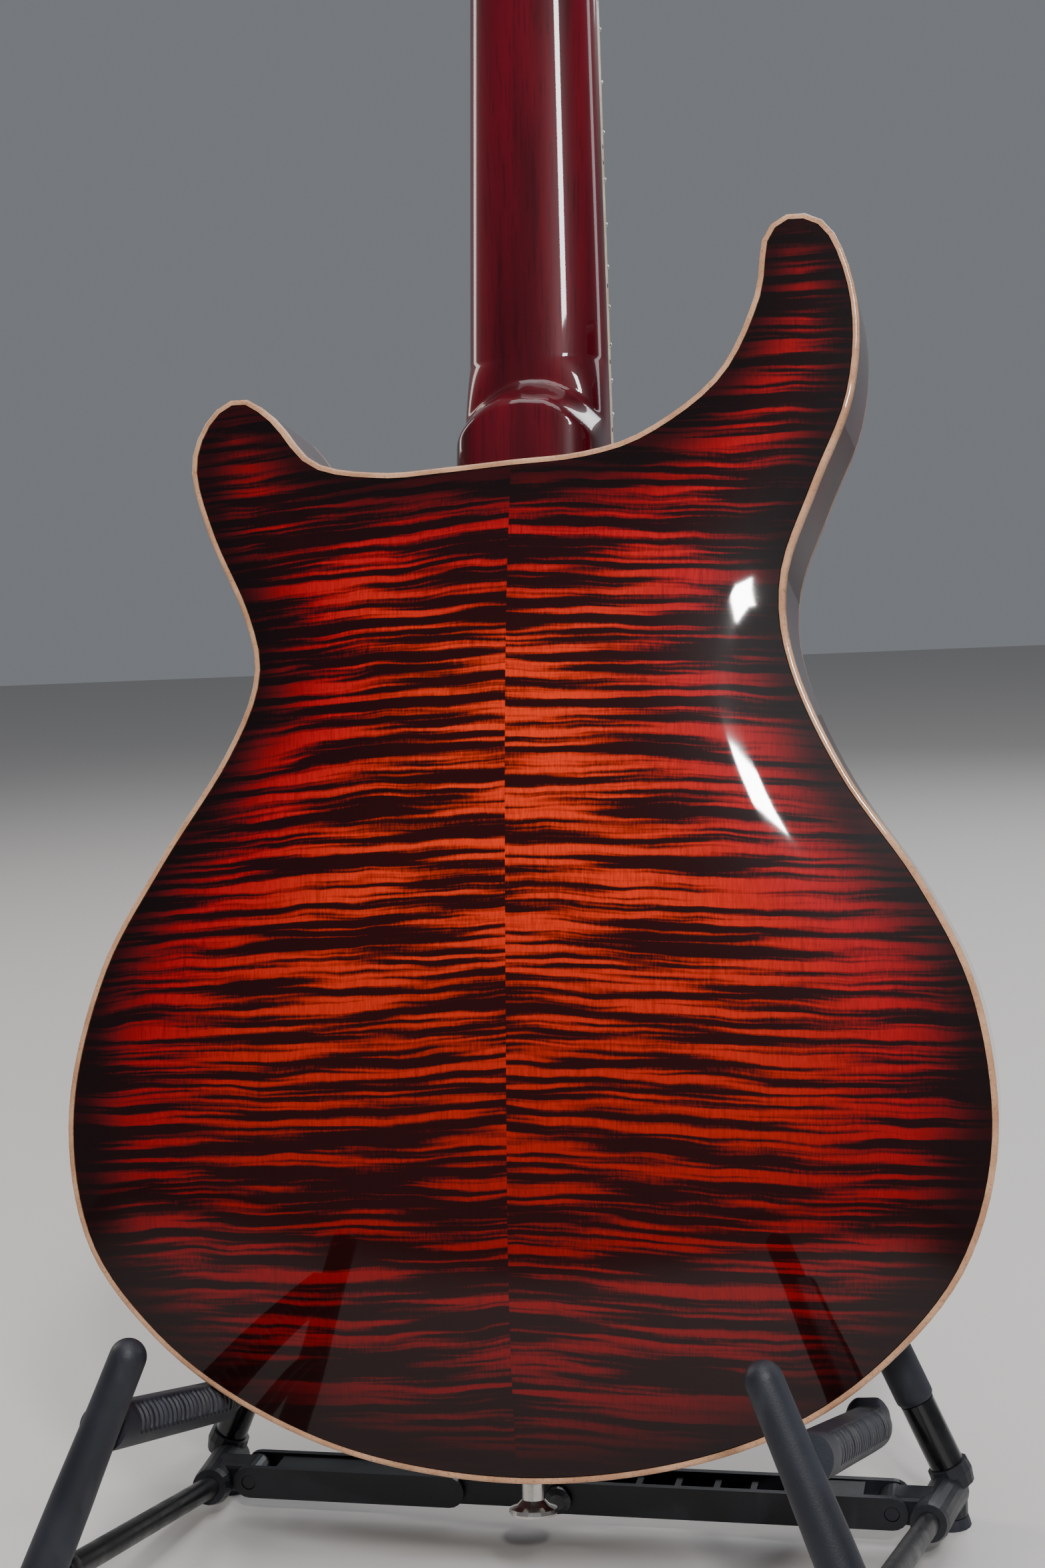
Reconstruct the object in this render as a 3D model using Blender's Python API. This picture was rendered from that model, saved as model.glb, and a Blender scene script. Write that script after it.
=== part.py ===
"""Hollow-body electric guitar standing in a low folding floor stand.

Lengths in this script are millimetres; SCALE turns them into metres as each mesh is made.
World frame: X to the right, Y away from the viewer, Z up, floor at Z = 0.  The guitar
shows its back towards -Y.  Guitar frame: x across (bass side +), y depth (back 0, front +),
z along the neck.  Neck frame: x across, y depth behind the playing face, z from nut to body.
"""
import math

import bpy
import numpy as np
from mathutils import Matrix, Vector
from mathutils.bvhtree import BVHTree
from mathutils.geometry import delaunay_2d_cdt

SCALE = 0.001
GAP = 0.3

# Placing of the two halves of the object
SHIFT = (2.9, -108.4, 0.0)
GUITAR_AT = (SHIFT[0], 72.05 + SHIFT[1], 52.9)
LEAN_DEG = 11.5

# Body
RIM_DEPTH = 50.0
RIM_WALL = 6.0
ARCH_BACK = 13.0
ARCH_FRONT = 11.0
PLATE = 4.0
BIND_WIDTH = 2.2
BIND_DEPTH = 4.0
OUTLINE_COUNT = 104
GRID = 17.0
OUTLINE = [
    (0, -2), (55, 5), (101, 22), (135, 48), (159, 80), (169.5, 122), (164, 170), (146, 209),
    (120, 248), (103, 287), (100.5, 318), (112, 350), (125, 382), (127.5, 415), (119, 443),
    (105, 450.5), (94, 443), (90, 420), (76, 393), (50, 374.5), (27, 368), (0, 366.5),
    (-27, 365), (-50, 364.5), (-76, 370), (-92, 388), (-106, 396.5), (-119, 389), (-125.5, 370),
    (-118, 343), (-104, 312), (-100, 288), (-112, 259), (-138, 220), (-161, 179), (-173, 128),
    (-166, 81), (-141, 47.5), (-105, 22), (-57, 4),
]

# Scale, neck and head
SCALE_LENGTH = 635.0
BRIDGE_Z = 170.6
FRET_22 = 456.8
BOARD_END = 465.0
NECK_ANGLE_DEG = 2.56
BOARD_FACE_Y = 58.3
NUT_WIDTH = 42.9
WIDTH_22 = 57.0
BOARD_DEPTH = 6.0
BOARD_BINDING = 1.6
HEEL_FACE_Y = 14.0
HEEL_START = 399.0
HEEL_RUN = 13.0
HEEL_ROUND = 16.0
HEAD_TILT_DEG = 9.0
HEAD_DEPTH = 14.5
HEAD_FACE = 4.5
HEAD_OUTLINE = [(21.3, 6.4), (22.3, 12), (27, 22), (36, 36), (40, 54), (38.5, 90), (36, 126),
                (32, 150), (20, 167), (0, 173)]
TUNER_ROWS = (54.0, 92.0, 130.0)
TUNER_X = 25.0
KEY_X = 47.0

# Hardware on the top
STRING_SPREAD_BRIDGE = 52.0
STRING_SPREAD_NUT = 35.0
STRING_RADII = (0.62, 0.48, 0.36, 0.24, 0.18, 0.14)
ACTION_BRIDGE = 5.2
NECK_PICKUP_Z = 313.0
BRIDGE_PICKUP_Z = 207.0
RING_SIZE = (90.0, 44.0)
PICKUP_SIZE = (69.0, 37.5)
KNOBS = {"volume": (-66.0, 122.0), "tone": (-73.0, 76.0)}
KNOB_RADIUS = 11.5
KNOB_HEIGHT = 16.0
SWITCH_AT = (-84.0, 338.0)
F_HOLE = [(70, 252), (79, 243), (83, 222), (86, 205), (89, 188), (97, 167), (107, 158)]
JACK_Z = 92.0

# Stand: points of the right-hand side frame before SHIFT, mirrored for the left
TIP = (101.3, -22.0, 130.4)
TOE = (155.8, -51.0, 0.0)
TIP_RADIUS = 6.0
LEG_RADIUS = 7.4
FOOT_HEIGHT = 16.0
SEAT_LINE = ((114.5, 0.0, 98.9), (0.075, 1.0, -0.334))
SEAT_END = [(94.0, 0.0, 0.0), (100.0, -0.4, 0.6), (106.0, -1.6, 3.2)]
SEAT_RADIUS = 7.9
TUBE_BASE = (145.0, 168.1, 23.6)
TUBE_BEND = (116.5, 170.5, 88.0)
TUBE_TOP = (66.0, 179.5, 236.0)
SLEEVE_FROM = 0.37
SLEEVE_RADIUS = 7.4
REAR_LEG_RADIUS = 5.8
CORNER = (145.3, 167.5, 12.4)
PIN = (126.0, 144.0, 17.2)
PIN_RADIUS = 2.6
ROD = [(126.7, -36.0, 61.6), (139.6, 127.3, 18.0)]
ROD_RADIUS = 4.2
ARM_HALF_WIDTH = 9.0
ARM_WALL = 2.6
ARM_HALF_HEIGHT = 6.2
EAR_HALF_WIDTH = ARM_HALF_WIDTH - ARM_WALL - GAP

COLOURS = {
    "flamed_maple": ((0.42, 0.035, 0.012), 0.12, 0.0), "mahogany_gloss": ((0.09, 0.008, 0.008), 0.15, 0.0),
    "maple_binding": ((0.55, 0.3, 0.16), 0.25, 0.0), "cream_binding": ((0.8, 0.68, 0.52), 0.3, 0.0),
    "neck_gloss": ((0.11, 0.006, 0.012), 0.12, 0.0), "ebony": ((0.03, 0.02, 0.017), 0.45, 0.0),
    "bone": ((0.82, 0.77, 0.66), 0.4, 0.0), "nickel": ((0.62, 0.6, 0.57), 0.2, 1.0),
    "string_steel": ((0.6, 0.58, 0.55), 0.3, 1.0), "black_plastic": ((0.02, 0.02, 0.022), 0.35, 0.0),
    "amber_plastic": ((0.6, 0.33, 0.1), 0.25, 0.0),
    "black_rubber": ((0.02, 0.022, 0.028), 0.7, 0.0), "gloss_black": ((0.012, 0.012, 0.014), 0.15, 0.4),
    "satin_plastic": ((0.02, 0.021, 0.025), 0.45, 0.0), "dark_steel": ((0.25, 0.25, 0.26), 0.3, 1.0),
}


def remove_everything():
    for item in list(bpy.data.objects):
        bpy.data.objects.remove(item)


def material(name):
    """Return the named Principled material, making it the first time."""
    if name in bpy.data.materials:
        return bpy.data.materials[name]
    colour, roughness, metallic = COLOURS[name]
    made = bpy.data.materials.new(name)
    made.use_nodes = True
    shader = made.node_tree.nodes["Principled BSDF"]
    shader.inputs["Base Color"].default_value = (*colour, 1.0)
    shader.inputs["Roughness"].default_value = roughness
    shader.inputs["Metallic"].default_value = metallic
    made.diffuse_color = (*colour, 1.0)
    return made


def frame(name, matrix, parent=None):
    """Add an empty whose axes are the frame of a group of parts."""
    empty = bpy.data.objects.new(name, None)
    bpy.context.scene.collection.objects.link(empty)
    empty.parent = parent
    empty.matrix_local = matrix
    return empty


def add(name, verts, faces, finish, parent=None, at=(0, 0, 0), smooth_deg=35):
    """Add one named mesh object; verts are relative to its origin at, both in mm."""
    verts, faces = outward(verts, faces)
    mesh = bpy.data.meshes.new(name)
    mesh.from_pydata([tuple(SCALE * c for c in v) for v in verts], [], faces)
    mesh.materials.append(material(finish))
    mesh.shade_smooth()
    mesh.set_sharp_from_angle(angle=math.radians(smooth_deg))
    thing = bpy.data.objects.new(name, mesh)
    bpy.context.scene.collection.objects.link(thing)
    thing.parent = parent
    thing.location = [SCALE * c for c in at]
    return thing


def boolean(thing, other, operation):
    """Cut other from thing, or join it on, and delete other."""
    bpy.context.view_layer.update()
    step = thing.modifiers.new(operation, "BOOLEAN")
    step.operation = operation
    step.object = other
    step.solver = "EXACT"
    graph = bpy.context.evaluated_depsgraph_get()
    mesh = bpy.data.meshes.new_from_object(thing.evaluated_get(graph))
    thing.modifiers.clear()
    thing.data = mesh
    mesh.name = thing.name
    bpy.data.objects.remove(other)
    return thing


def spline(points, count, closed=False):
    """Evenly spaced points on a Catmull-Rom curve through points, in any dimension."""
    ctrl = np.array(points, float)
    if closed:
        ctrl = np.vstack([ctrl[-1], ctrl, ctrl[0], ctrl[1]])
    else:
        ctrl = np.vstack([2 * ctrl[0] - ctrl[1], ctrl, 2 * ctrl[-1] - ctrl[-2]])
    dense = []
    for a, b, c, d in zip(ctrl, ctrl[1:], ctrl[2:], ctrl[3:]):
        for t in np.arange(0, 1, 0.05):
            dense.append(0.5 * (2 * b + (c - a) * t + (2 * a - 5 * b + 4 * c - d) * t * t
                                + (3 * b - a - 3 * c + d) * t ** 3))
    dense.append(ctrl[-2])
    dense = np.array(dense)
    run = np.concatenate([[0], np.cumsum(np.linalg.norm(np.diff(dense, axis=0), axis=1))])
    stops = np.linspace(0, run[-1], count + 1 if closed else count)
    stops = stops[:-1] if closed else stops
    return np.array([np.interp(stops, run, column) for column in dense.T]).T


def inset(loop, distance):
    """Move a counter-clockwise loop of (x, z) points inwards by distance."""
    along = np.roll(loop, -1, axis=0) - np.roll(loop, 1, axis=0)
    along /= np.linalg.norm(along, axis=1)[:, None]
    return loop + distance * np.column_stack([-along[:, 1], along[:, 0]])


def rounded_rect(centre, size, radius, steps=4):
    """Counter-clockwise rounded rectangle in (x, z)."""
    points = []
    for quarter, (sx, sz) in enumerate([(1, 1), (-1, 1), (-1, -1), (1, -1)]):
        for step in range(steps + 1):
            turn = math.radians(90 * (quarter + step / steps))
            points.append((centre[0] + sx * (size[0] / 2 - radius) + radius * math.cos(turn),
                           centre[1] + sz * (size[1] / 2 - radius) + radius * math.sin(turn)))
    return np.array(points)


def dense_rect(centre, size, radius):
    """Rounded rectangle with three extra points on each straight run."""
    corners = rounded_rect(centre, size, radius, 3)
    loop = []
    for k, point in enumerate(corners):
        loop.append(point)
        if k % 4 == 3:
            after = corners[(k + 1) % len(corners)]
            loop += [point + (after - point) * t for t in (0.25, 0.5, 0.75)]
    return np.array(loop)


def circle(centre, radius, count=16):
    turns = np.arange(count) * 2 * math.pi / count
    return np.column_stack([centre[0] + radius * np.cos(turns), centre[1] + radius * np.sin(turns)])


def skin(rings):
    """Faces and vertices of a loft through rings with equal counts; ends are fanned shut."""
    count = len(rings[0])
    verts = [tuple(p) for ring in rings for p in ring]
    faces = []
    for k in range(len(rings) - 1):
        for i in range(count):
            j = (i + 1) % count
            faces.append((k * count + i, k * count + j, (k + 1) * count + j, (k + 1) * count + i))
    for base, flip in ((0, True), ((len(rings) - 1) * count, False)):
        verts.append(tuple(np.mean(verts[base:base + count], axis=0)))
        hub = len(verts) - 1
        for i in range(count):
            edge = (base + i, base + (i + 1) % count)
            faces.append((edge[1], edge[0], hub) if flip else (edge[0], edge[1], hub))
    return verts, faces


def bands(loops):
    """Closed ring solid through loops of equal counts, the last joined to the first."""
    count = len(loops[0])
    verts = [tuple(p) for loop in loops for p in loop]
    faces = []
    for k in range(len(loops)):
        nxt = (k + 1) % len(loops)
        for i in range(count):
            j = (i + 1) % count
            faces.append((k * count + i, nxt * count + i, nxt * count + j, k * count + j))
    return verts, faces


def at_depth(loop, depth):
    """Lift an (x, z) loop to 3-D; depth is a number or a function of x and z."""
    if callable(depth):
        return [(x, depth(x, z), z) for x, z in loop]
    return [(x, depth, z) for x, z in loop]


def prism(loop, low, high):
    """Solid between two depths over a counter-clockwise (x, z) loop."""
    return skin([at_depth(loop, high), at_depth(loop, low)])


def ring_frames(points):
    """Directions along a path and two steady cross directions at each point."""
    path = [Vector(p) for p in points]
    ways = []
    for i in range(len(path)):
        before = path[max(i - 1, 0)]
        after = path[min(i + 1, len(path) - 1)]
        ways.append((after - before).normalized())
    side = ways[0].orthogonal().normalized()
    if abs(ways[0].x) < 0.9:
        side = (Vector((1, 0, 0)) - ways[0] * ways[0].x).normalized()
    frames = []
    for way in ways:
        side = (side - way * side.dot(way)).normalized()
        frames.append((way, side, way.cross(side)))
    return path, frames


def sweep(points, radii, sides=16, squash=1.0, power=2.0, domes=(False, False)):
    """Tube along a path; squash is its height over its width, power above 2 squares it."""
    path, frames = ring_frames(points)
    if isinstance(radii, (int, float)):
        radii = [radii] * len(path)

    def ring(centre, axes, radius):
        made = []
        for i in range(sides):
            turn = 2 * math.pi * i / sides
            cosine = math.copysign(abs(math.cos(turn)) ** (2 / power), math.cos(turn))
            sine = math.copysign(abs(math.sin(turn)) ** (2 / power), math.sin(turn))
            made.append(centre + radius * (cosine * axes[1] + squash * sine * axes[2]))
        return made

    rings = []
    if domes[0]:
        for turn in (80, 60, 35):
            rad = math.radians(turn)
            centre = path[0] - frames[0][0] * radii[0] * math.sin(rad)
            rings.append(ring(centre, frames[0], radii[0] * math.cos(rad)))
    rings += [ring(p, f, r) for p, f, r in zip(path, frames, radii)]
    if domes[1]:
        for turn in (35, 60, 80):
            rad = math.radians(turn)
            centre = path[-1] + frames[-1][0] * radii[-1] * math.sin(rad)
            rings.append(ring(centre, frames[-1], radii[-1] * math.cos(rad)))
    return skin(rings)


def lathe(profile, sides=20, axis="Y"):
    """Turn (radius, height) pairs about an axis; both ends lie on the axis."""
    verts = []
    rows = []
    for radius, height in profile:
        if radius == 0:
            rows.append([len(verts)] * sides)
            verts.append((0, height, 0))
            continue
        rows.append(list(range(len(verts), len(verts) + sides)))
        for i in range(sides):
            turn = 2 * math.pi * i / sides
            verts.append((radius * math.cos(turn), height, radius * math.sin(turn)))
    faces = []
    for low, high in zip(rows, rows[1:]):
        for i in range(sides):
            j = (i + 1) % sides
            face = list(dict.fromkeys((low[j], low[i], high[i], high[j])))
            faces.append(tuple(face[::-1]))
    if axis == "Z":
        verts = [(x, -z, y) for x, y, z in verts]
    if axis == "X":
        verts = [(y, -x, z) for x, y, z in verts]
    return verts, faces


def inside(point, loop):
    """True when an (x, z) point lies inside a closed loop."""
    x, z = point
    hit = False
    for (x1, z1), (x2, z2) in zip(loop, np.roll(loop, -1, axis=0)):
        if (z1 > z) != (z2 > z) and x < x1 + (z - z1) * (x2 - x1) / (z2 - z1):
            hit = not hit
    return hit


def membrane(points, triangles, fixed):
    """Height of a soap film blown up over the triangles, 0 at the fixed points, 1 at most."""
    count = len(points)
    stiff = np.zeros((count, count))
    load = np.zeros(count)
    for triangle in triangles:
        corner = points[list(triangle)]
        for k in range(3):
            i, j, opposite = triangle[k], triangle[(k + 1) % 3], corner[(k + 2) % 3]
            a, b = points[i] - opposite, points[j] - opposite
            cross = abs(a[0] * b[1] - a[1] * b[0])
            weight = 0.5 * (a @ b) / max(cross, 1e-9)
            stiff[i, j] -= weight
            stiff[j, i] -= weight
            stiff[i, i] += weight
            stiff[j, j] += weight
            load[triangle[k]] += cross / 6
    free = [i for i in range(count) if i not in fixed]
    height = np.zeros(count)
    height[free] = np.linalg.solve(stiff[np.ix_(free, free)], load[free])
    return height / height.max()


def triangulate(outer, holes):
    """Triangles over an outline with holes: points, faces and the chain of each edge loop."""
    coords = [tuple(p) for p in outer]
    edges = [(i, (i + 1) % len(outer)) for i in range(len(outer))]
    for hole in holes:
        start = len(coords)
        coords += [tuple(p) for p in hole]
        edges += [(start + i, start + (i + 1) % len(hole)) for i in range(len(hole))]
    low, high = outer.min(axis=0), outer.max(axis=0)
    loops = [outer] + list(holes)
    rows = np.arange(low[1] + GRID / 2, high[1], GRID * 0.866)
    for k, z in enumerate(rows):
        for x in np.arange(low[0] + GRID / 2 * (k % 2), high[0], GRID):
            near = min(np.min(np.hypot(*(loop - (x, z)).T)) for loop in loops)
            if near > 0.62 * GRID and inside((x, z), outer):
                if not any(inside((x, z), hole) for hole in holes):
                    coords.append((x, z))
    made = delaunay_2d_cdt([Vector(c) for c in coords], edges, [], 1, 1e-5)
    points = np.array([tuple(v) for v in made[0]])
    faces = []
    for face in made[2]:
        centre = points[list(face)].mean(axis=0)
        if not any(inside(centre, hole) for hole in holes):
            a, b, c = points[list(face)]
            turn = (b[0] - a[0]) * (c[1] - a[1]) - (b[1] - a[1]) * (c[0] - a[0])
            faces.append(tuple(face) if turn > 0 else tuple(face[::-1]))
    return points, faces


def carved_plate(outer, holes, front):
    """Arched plate: vertices and faces; front says which way it bulges."""
    points, faces = triangulate(outer, holes)
    count = len(points)
    rim = {i for i, p in enumerate(points) if np.min(np.hypot(*(outer - p).T)) < 0.01}
    film = membrane(points, faces, rim)
    rise = (ARCH_FRONT if front else ARCH_BACK) * film ** 1.25 * (2.2 - 1.2 * film)
    outside = RIM_DEPTH + rise if front else -rise
    within = outside - PLATE if front else outside + PLATE
    verts = [(x, y, z) for (x, z), y in zip(points, outside)]
    verts += [(x, y, z) for (x, z), y in zip(points, within)]
    solid = []
    seen = {}
    for face in faces:
        a, b, c = face if not front else face[::-1]
        solid.append((a, b, c))
        solid.append((c + count, b + count, a + count))
        for i, j in ((a, b), (b, c), (c, a)):
            seen[(i, j)] = seen.get((j, i)) is None
            if (j, i) in seen:
                seen[(j, i)] = False
    for (i, j), single in seen.items():
        if single:
            solid.append((j, i, i + count, j + count))
    return verts, solid


def f_hole(side):
    """Slot with round ends along a curve, as a counter-clockwise loop."""
    path = spline([(side * x, z) for x, z in F_HOLE], 15)
    along = np.gradient(path, axis=0)
    along /= np.linalg.norm(along, axis=1)[:, None]
    normal = np.column_stack([-along[:, 1], along[:, 0]])
    t = np.linspace(-1, 1, len(path))
    half = 2.6 + 3.2 * np.exp(-((abs(t) - 0.9) / 0.16) ** 2) + 0.9 * np.exp(-(t / 0.12) ** 2)
    half *= np.sqrt(np.clip(1.04 - t ** 8, 0.12, 1))
    loop = np.vstack([path - half[:, None] * normal, (path + half[:, None] * normal)[::-1]])
    area = np.sum(loop[:, 0] * np.roll(loop[:, 1], -1) - np.roll(loop[:, 0], -1) * loop[:, 1])
    return loop if area > 0 else loop[::-1]


def board_half_width(d):
    return (NUT_WIDTH + (WIDTH_22 - NUT_WIDTH) * d / FRET_22) / 2


def make_body(guitar):
    """Arched back and top, bent sides and their bindings."""
    outline = spline(OUTLINE, OUTLINE_COUNT, closed=True)
    edge = inset(outline, BIND_WIDTH + GAP)
    verts, faces = carved_plate(edge, [], front=False)
    add("back_plate", verts, faces, "flamed_maple", guitar)
    holes = [f_hole(1), f_hole(-1)]
    for z in (NECK_PICKUP_Z, BRIDGE_PICKUP_Z):
        holes.append(rounded_rect((0, z), (PICKUP_SIZE[0] + 2, PICKUP_SIZE[1] + 2), 3, 2))
    holes += [circle(at, 5.2, 14) for at in list(KNOBS.values()) + [SWITCH_AT]]
    verts, faces = carved_plate(edge, holes, front=True)
    top = add("top_plate", verts, faces, "flamed_maple", guitar)
    for name, near, far in (("back_binding", 0, BIND_DEPTH),
                            ("top_binding", RIM_DEPTH - BIND_DEPTH, RIM_DEPTH)):
        inner = inset(outline, BIND_WIDTH)
        loops = [at_depth(outline, near), at_depth(outline, far), at_depth(inner, far),
                 at_depth(inner, near)]
        add(name, *bands(loops), "maple_binding", guitar)
    near, far = BIND_DEPTH + GAP, RIM_DEPTH - BIND_DEPTH - GAP
    inner = inset(outline, RIM_WALL)
    loops = [at_depth(outline, near), at_depth(outline, far), at_depth(inner, far),
             at_depth(inner, near)]
    add("rim", *bands(loops), "mahogany_gloss", guitar)
    return outline, top


class TopSkin:
    """Looks up the outer skin of the top plate."""

    def __init__(self, top):
        self.tree = BVHTree.FromPolygons([v.co for v in top.data.vertices],
                                         [p.vertices[:] for p in top.data.polygons])

    def depth(self, x, z):
        start = Vector((SCALE * x, SCALE * 200.0, SCALE * z))
        hit = self.tree.ray_cast(start, Vector((0, -1, 0)))[0]
        return hit.y / SCALE if hit else RIM_DEPTH

    def highest(self, x, z, reach):
        around = circle((x, z), reach, 12)
        return max(self.depth(*p) for p in around)


def make_neck(neck, outline):
    """Neck with its heel, and the tilted head joined to it."""
    joint = [p for p in outline if abs(p[0]) < 45 and p[1] > 300]
    joint.sort(key=lambda p: p[0])
    joint = np.array(joint)
    nut_z = BRIDGE_Z + SCALE_LENGTH - FRET_22 + FRET_22 * math.cos(math.radians(NECK_ANGLE_DEG))
    slope = math.tan(math.radians(NECK_ANGLE_DEG))
    sides = 22

    def depth(x, d, half):
        shaft = 20.6 + 3.4 * d / 400
        cap = BOARD_FACE_Y + (d - FRET_22) * slope - HEEL_FACE_Y
        onset = HEEL_START + HEEL_ROUND * (x / half) ** 2
        s = min(max((d - onset) / HEEL_RUN, 0), 1)
        return shaft + (cap - shaft) * s * s * (3 - 2 * s)

    def section(d, last=False):
        half = board_half_width(d)
        ring = [(half, BOARD_DEPTH + GAP, d), (-half, BOARD_DEPTH + GAP, d)]
        blend = min(max((d - HEEL_START + 8) / 26, 0), 1)
        power = 2.25 + 3.0 * blend
        for i in range(1, sides):
            turn = math.pi * (1 - i / sides)
            x = half * math.copysign(abs(math.cos(turn)) ** (2 / power), math.cos(turn))
            y = BOARD_DEPTH + GAP
            y += (depth(x, d, half) - y) * math.sin(turn) ** (2 / power)
            ring.append((x, y, d))
        if last:
            ring = [(x, y, nut_z - np.interp(x, joint[:, 0], joint[:, 1]) - GAP - y * slope)
                    for x, y, _ in ring]
        return ring

    stops = [-9.0] + list(np.linspace(40, 380, 6)) + list(np.linspace(392, 430, 12))
    rings = [section(d) for d in stops] + [section(437.0, last=True)]
    thing = add("neck", *skin(rings), "neck_gloss", neck)
    side = spline(HEAD_OUTLINE, 22)
    loop = np.vstack([side, side[-2::-1] * (-1, 1)])
    tilt = Matrix.Rotation(math.radians(HEAD_TILT_DEG), 4, "X")
    rings = []
    for level in (0.0, HEAD_DEPTH):
        rings.append([tilt @ Vector((x, HEAD_FACE + level, -s)) for x, s in loop])
    verts, faces = skin(rings[::-1])
    head = add("head", verts, faces, "neck_gloss", neck)
    boolean(thing, head, "UNION")
    for side_way in (1, -1):
        for row in TUNER_ROWS:
            verts, faces = lathe([(0, -10), (5.2, -10), (5.2, 40), (0, 40)], 16)
            centre = Vector((side_way * TUNER_X, 0, -row))
            verts = [tilt @ (Vector(v) + centre) for v in verts]
            boolean(thing, add("drill", verts, faces, "neck_gloss", neck), "DIFFERENCE")
    return tilt


def make_fretboard(neck):
    """Fretboard, the binding round three of its sides, and the nut."""
    def section(d, half, low, high):
        radius = 280.0
        top = [(x, high + radius - math.sqrt(radius ** 2 - x * x), d)
               for x in np.linspace(half, -half, 9)]
        return [(-half, low, d), (half, low, d)] + top

    def edge_half(d):
        return board_half_width(d) - BOARD_BINDING - GAP

    end = BOARD_END - BOARD_BINDING - GAP
    rings = [section(d, edge_half(d), BOARD_DEPTH, 0.0) for d in np.linspace(0.3, end, 7)]
    verts, faces = skin([ring[::-1] for ring in rings])
    add("fretboard", verts, faces, "ebony", neck)
    outer = [(board_half_width(0), 0.3), (board_half_width(BOARD_END), BOARD_END)]
    inner_x = [board_half_width(d) - BOARD_BINDING for d in (0, BOARD_END)]
    loop = [(outer[0][0], 0.3), (outer[1][0], BOARD_END), (-outer[1][0], BOARD_END),
            (-outer[0][0], 0.3), (-inner_x[0], 0.3), (-inner_x[1], BOARD_END - BOARD_BINDING),
            (inner_x[1], BOARD_END - BOARD_BINDING), (inner_x[0], 0.3)]
    verts = [(x, y, d) for y in (1.3, BOARD_DEPTH) for x, d in loop]
    count = len(loop)
    faces = [(i, (i + 1) % count, (i + 1) % count + count, i + count) for i in range(count)]
    for quad in ((0, 7, 6, 1), (1, 6, 5, 2), (2, 5, 4, 3)):
        faces.append(quad)
        faces.append(tuple(i + count for i in quad[::-1]))
    faces = [face[::-1] for face in faces]
    add("fretboard_binding", verts, faces, "cream_binding", neck)
    half = NUT_WIDTH / 2 - 0.3
    profile = rounded_rect((0, 0), (2 * half, 4.4), 0.8, 2)
    rings = [[(x, level, z - 2.6) for x, z in profile] for level in (5.9, 0.2)]
    add("nut", *skin(rings), "bone", neck)


def make_tuners(neck, tilt):
    """Six tuning machines behind the head and their keys at the sides."""
    number = 0
    for side_way in (1, -1):
        for row in TUNER_ROWS if side_way > 0 else TUNER_ROWS[::-1]:
            number += 1
            behind = HEAD_FACE + HEAD_DEPTH + GAP
            local = frame(f"tuner_frame_{number}", tilt, neck)
            case = rounded_rect((0, 0), (15, 17), 4, 3)
            outer = [[(x, y, z) for x, z in case] for y in (8.0, 0.0)]
            crown = [[(x * 0.82, 9.8, z * 0.82) for x, z in case]]
            verts, faces = skin(crown + outer)
            at = (side_way * TUNER_X, behind, -row)
            body = add(f"tuner_{number}", verts, faces, "nickel", local, at)
            top = HEAD_FACE - 13.0 - behind
            post = [(0, 1.0), (4.9, 1.0), (4.9, top + 11.5), (3.1, top + 10.5), (2.7, top + 5.0),
                    (3.2, top + 1.0), (2.4, top), (0, top)]
            verts, faces = lathe(post[::-1], 14)
            boolean(body, add("post", verts, faces, "nickel", local, at), "UNION")
            reach = KEY_X - TUNER_X
            stem = 7.5 + GAP
            shape = [(0, stem), (2.2, stem), (2.2, reach - 6), (3.4, reach - 5), (3.4, reach - 3),
                     (2.4, reach - 2), (5.4, reach + 1), (7.4, reach + 6), (7.6, reach + 10),
                     (6.2, reach + 13.5), (3.2, reach + 15.2), (0, reach + 15.6)]
            verts, faces = lathe(shape, 14, "X")
            verts = [(side_way * x, y * 0.62 if x > reach + 0.5 else y, z) for x, y, z in verts]
            if side_way < 0:
                faces = [face[::-1] for face in faces]
            at = (side_way * TUNER_X, behind + 4.6, -row)
            add(f"tuner_key_{number}", verts, faces, "nickel", local, at)


def make_strings(guitar, to_guitar):
    """Six strings from the bridge over the nut to the posts."""
    tilt = Matrix.Rotation(math.radians(HEAD_TILT_DEG), 4, "X")
    rows = list(TUNER_ROWS) + list(TUNER_ROWS[::-1])
    for k, radius in enumerate(STRING_RADII):
        across = 0.5 - k / 5
        nut_x = across * STRING_SPREAD_NUT
        nut = to_guitar @ Vector((nut_x, -0.1 - GAP - radius, -2.6))
        bridge = Vector((across * STRING_SPREAD_BRIDGE, 0, BRIDGE_Z - 7))
        reach = to_guitar @ Vector((0, -ACTION_BRIDGE, SCALE_LENGTH))
        bridge.y = reach.y
        side_way = 1 if k < 3 else -1
        post = tilt @ Vector((side_way * (TUNER_X - 3.0 - radius), HEAD_FACE - 6.5, -rows[k] + 1.5))
        post = to_guitar @ post
        mid = nut + (post - nut) * 0.04
        verts, faces = sweep([bridge, nut, mid, post], radius, 6)
        add(f"string_{k + 1}", verts, faces, "string_steel", guitar)


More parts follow.
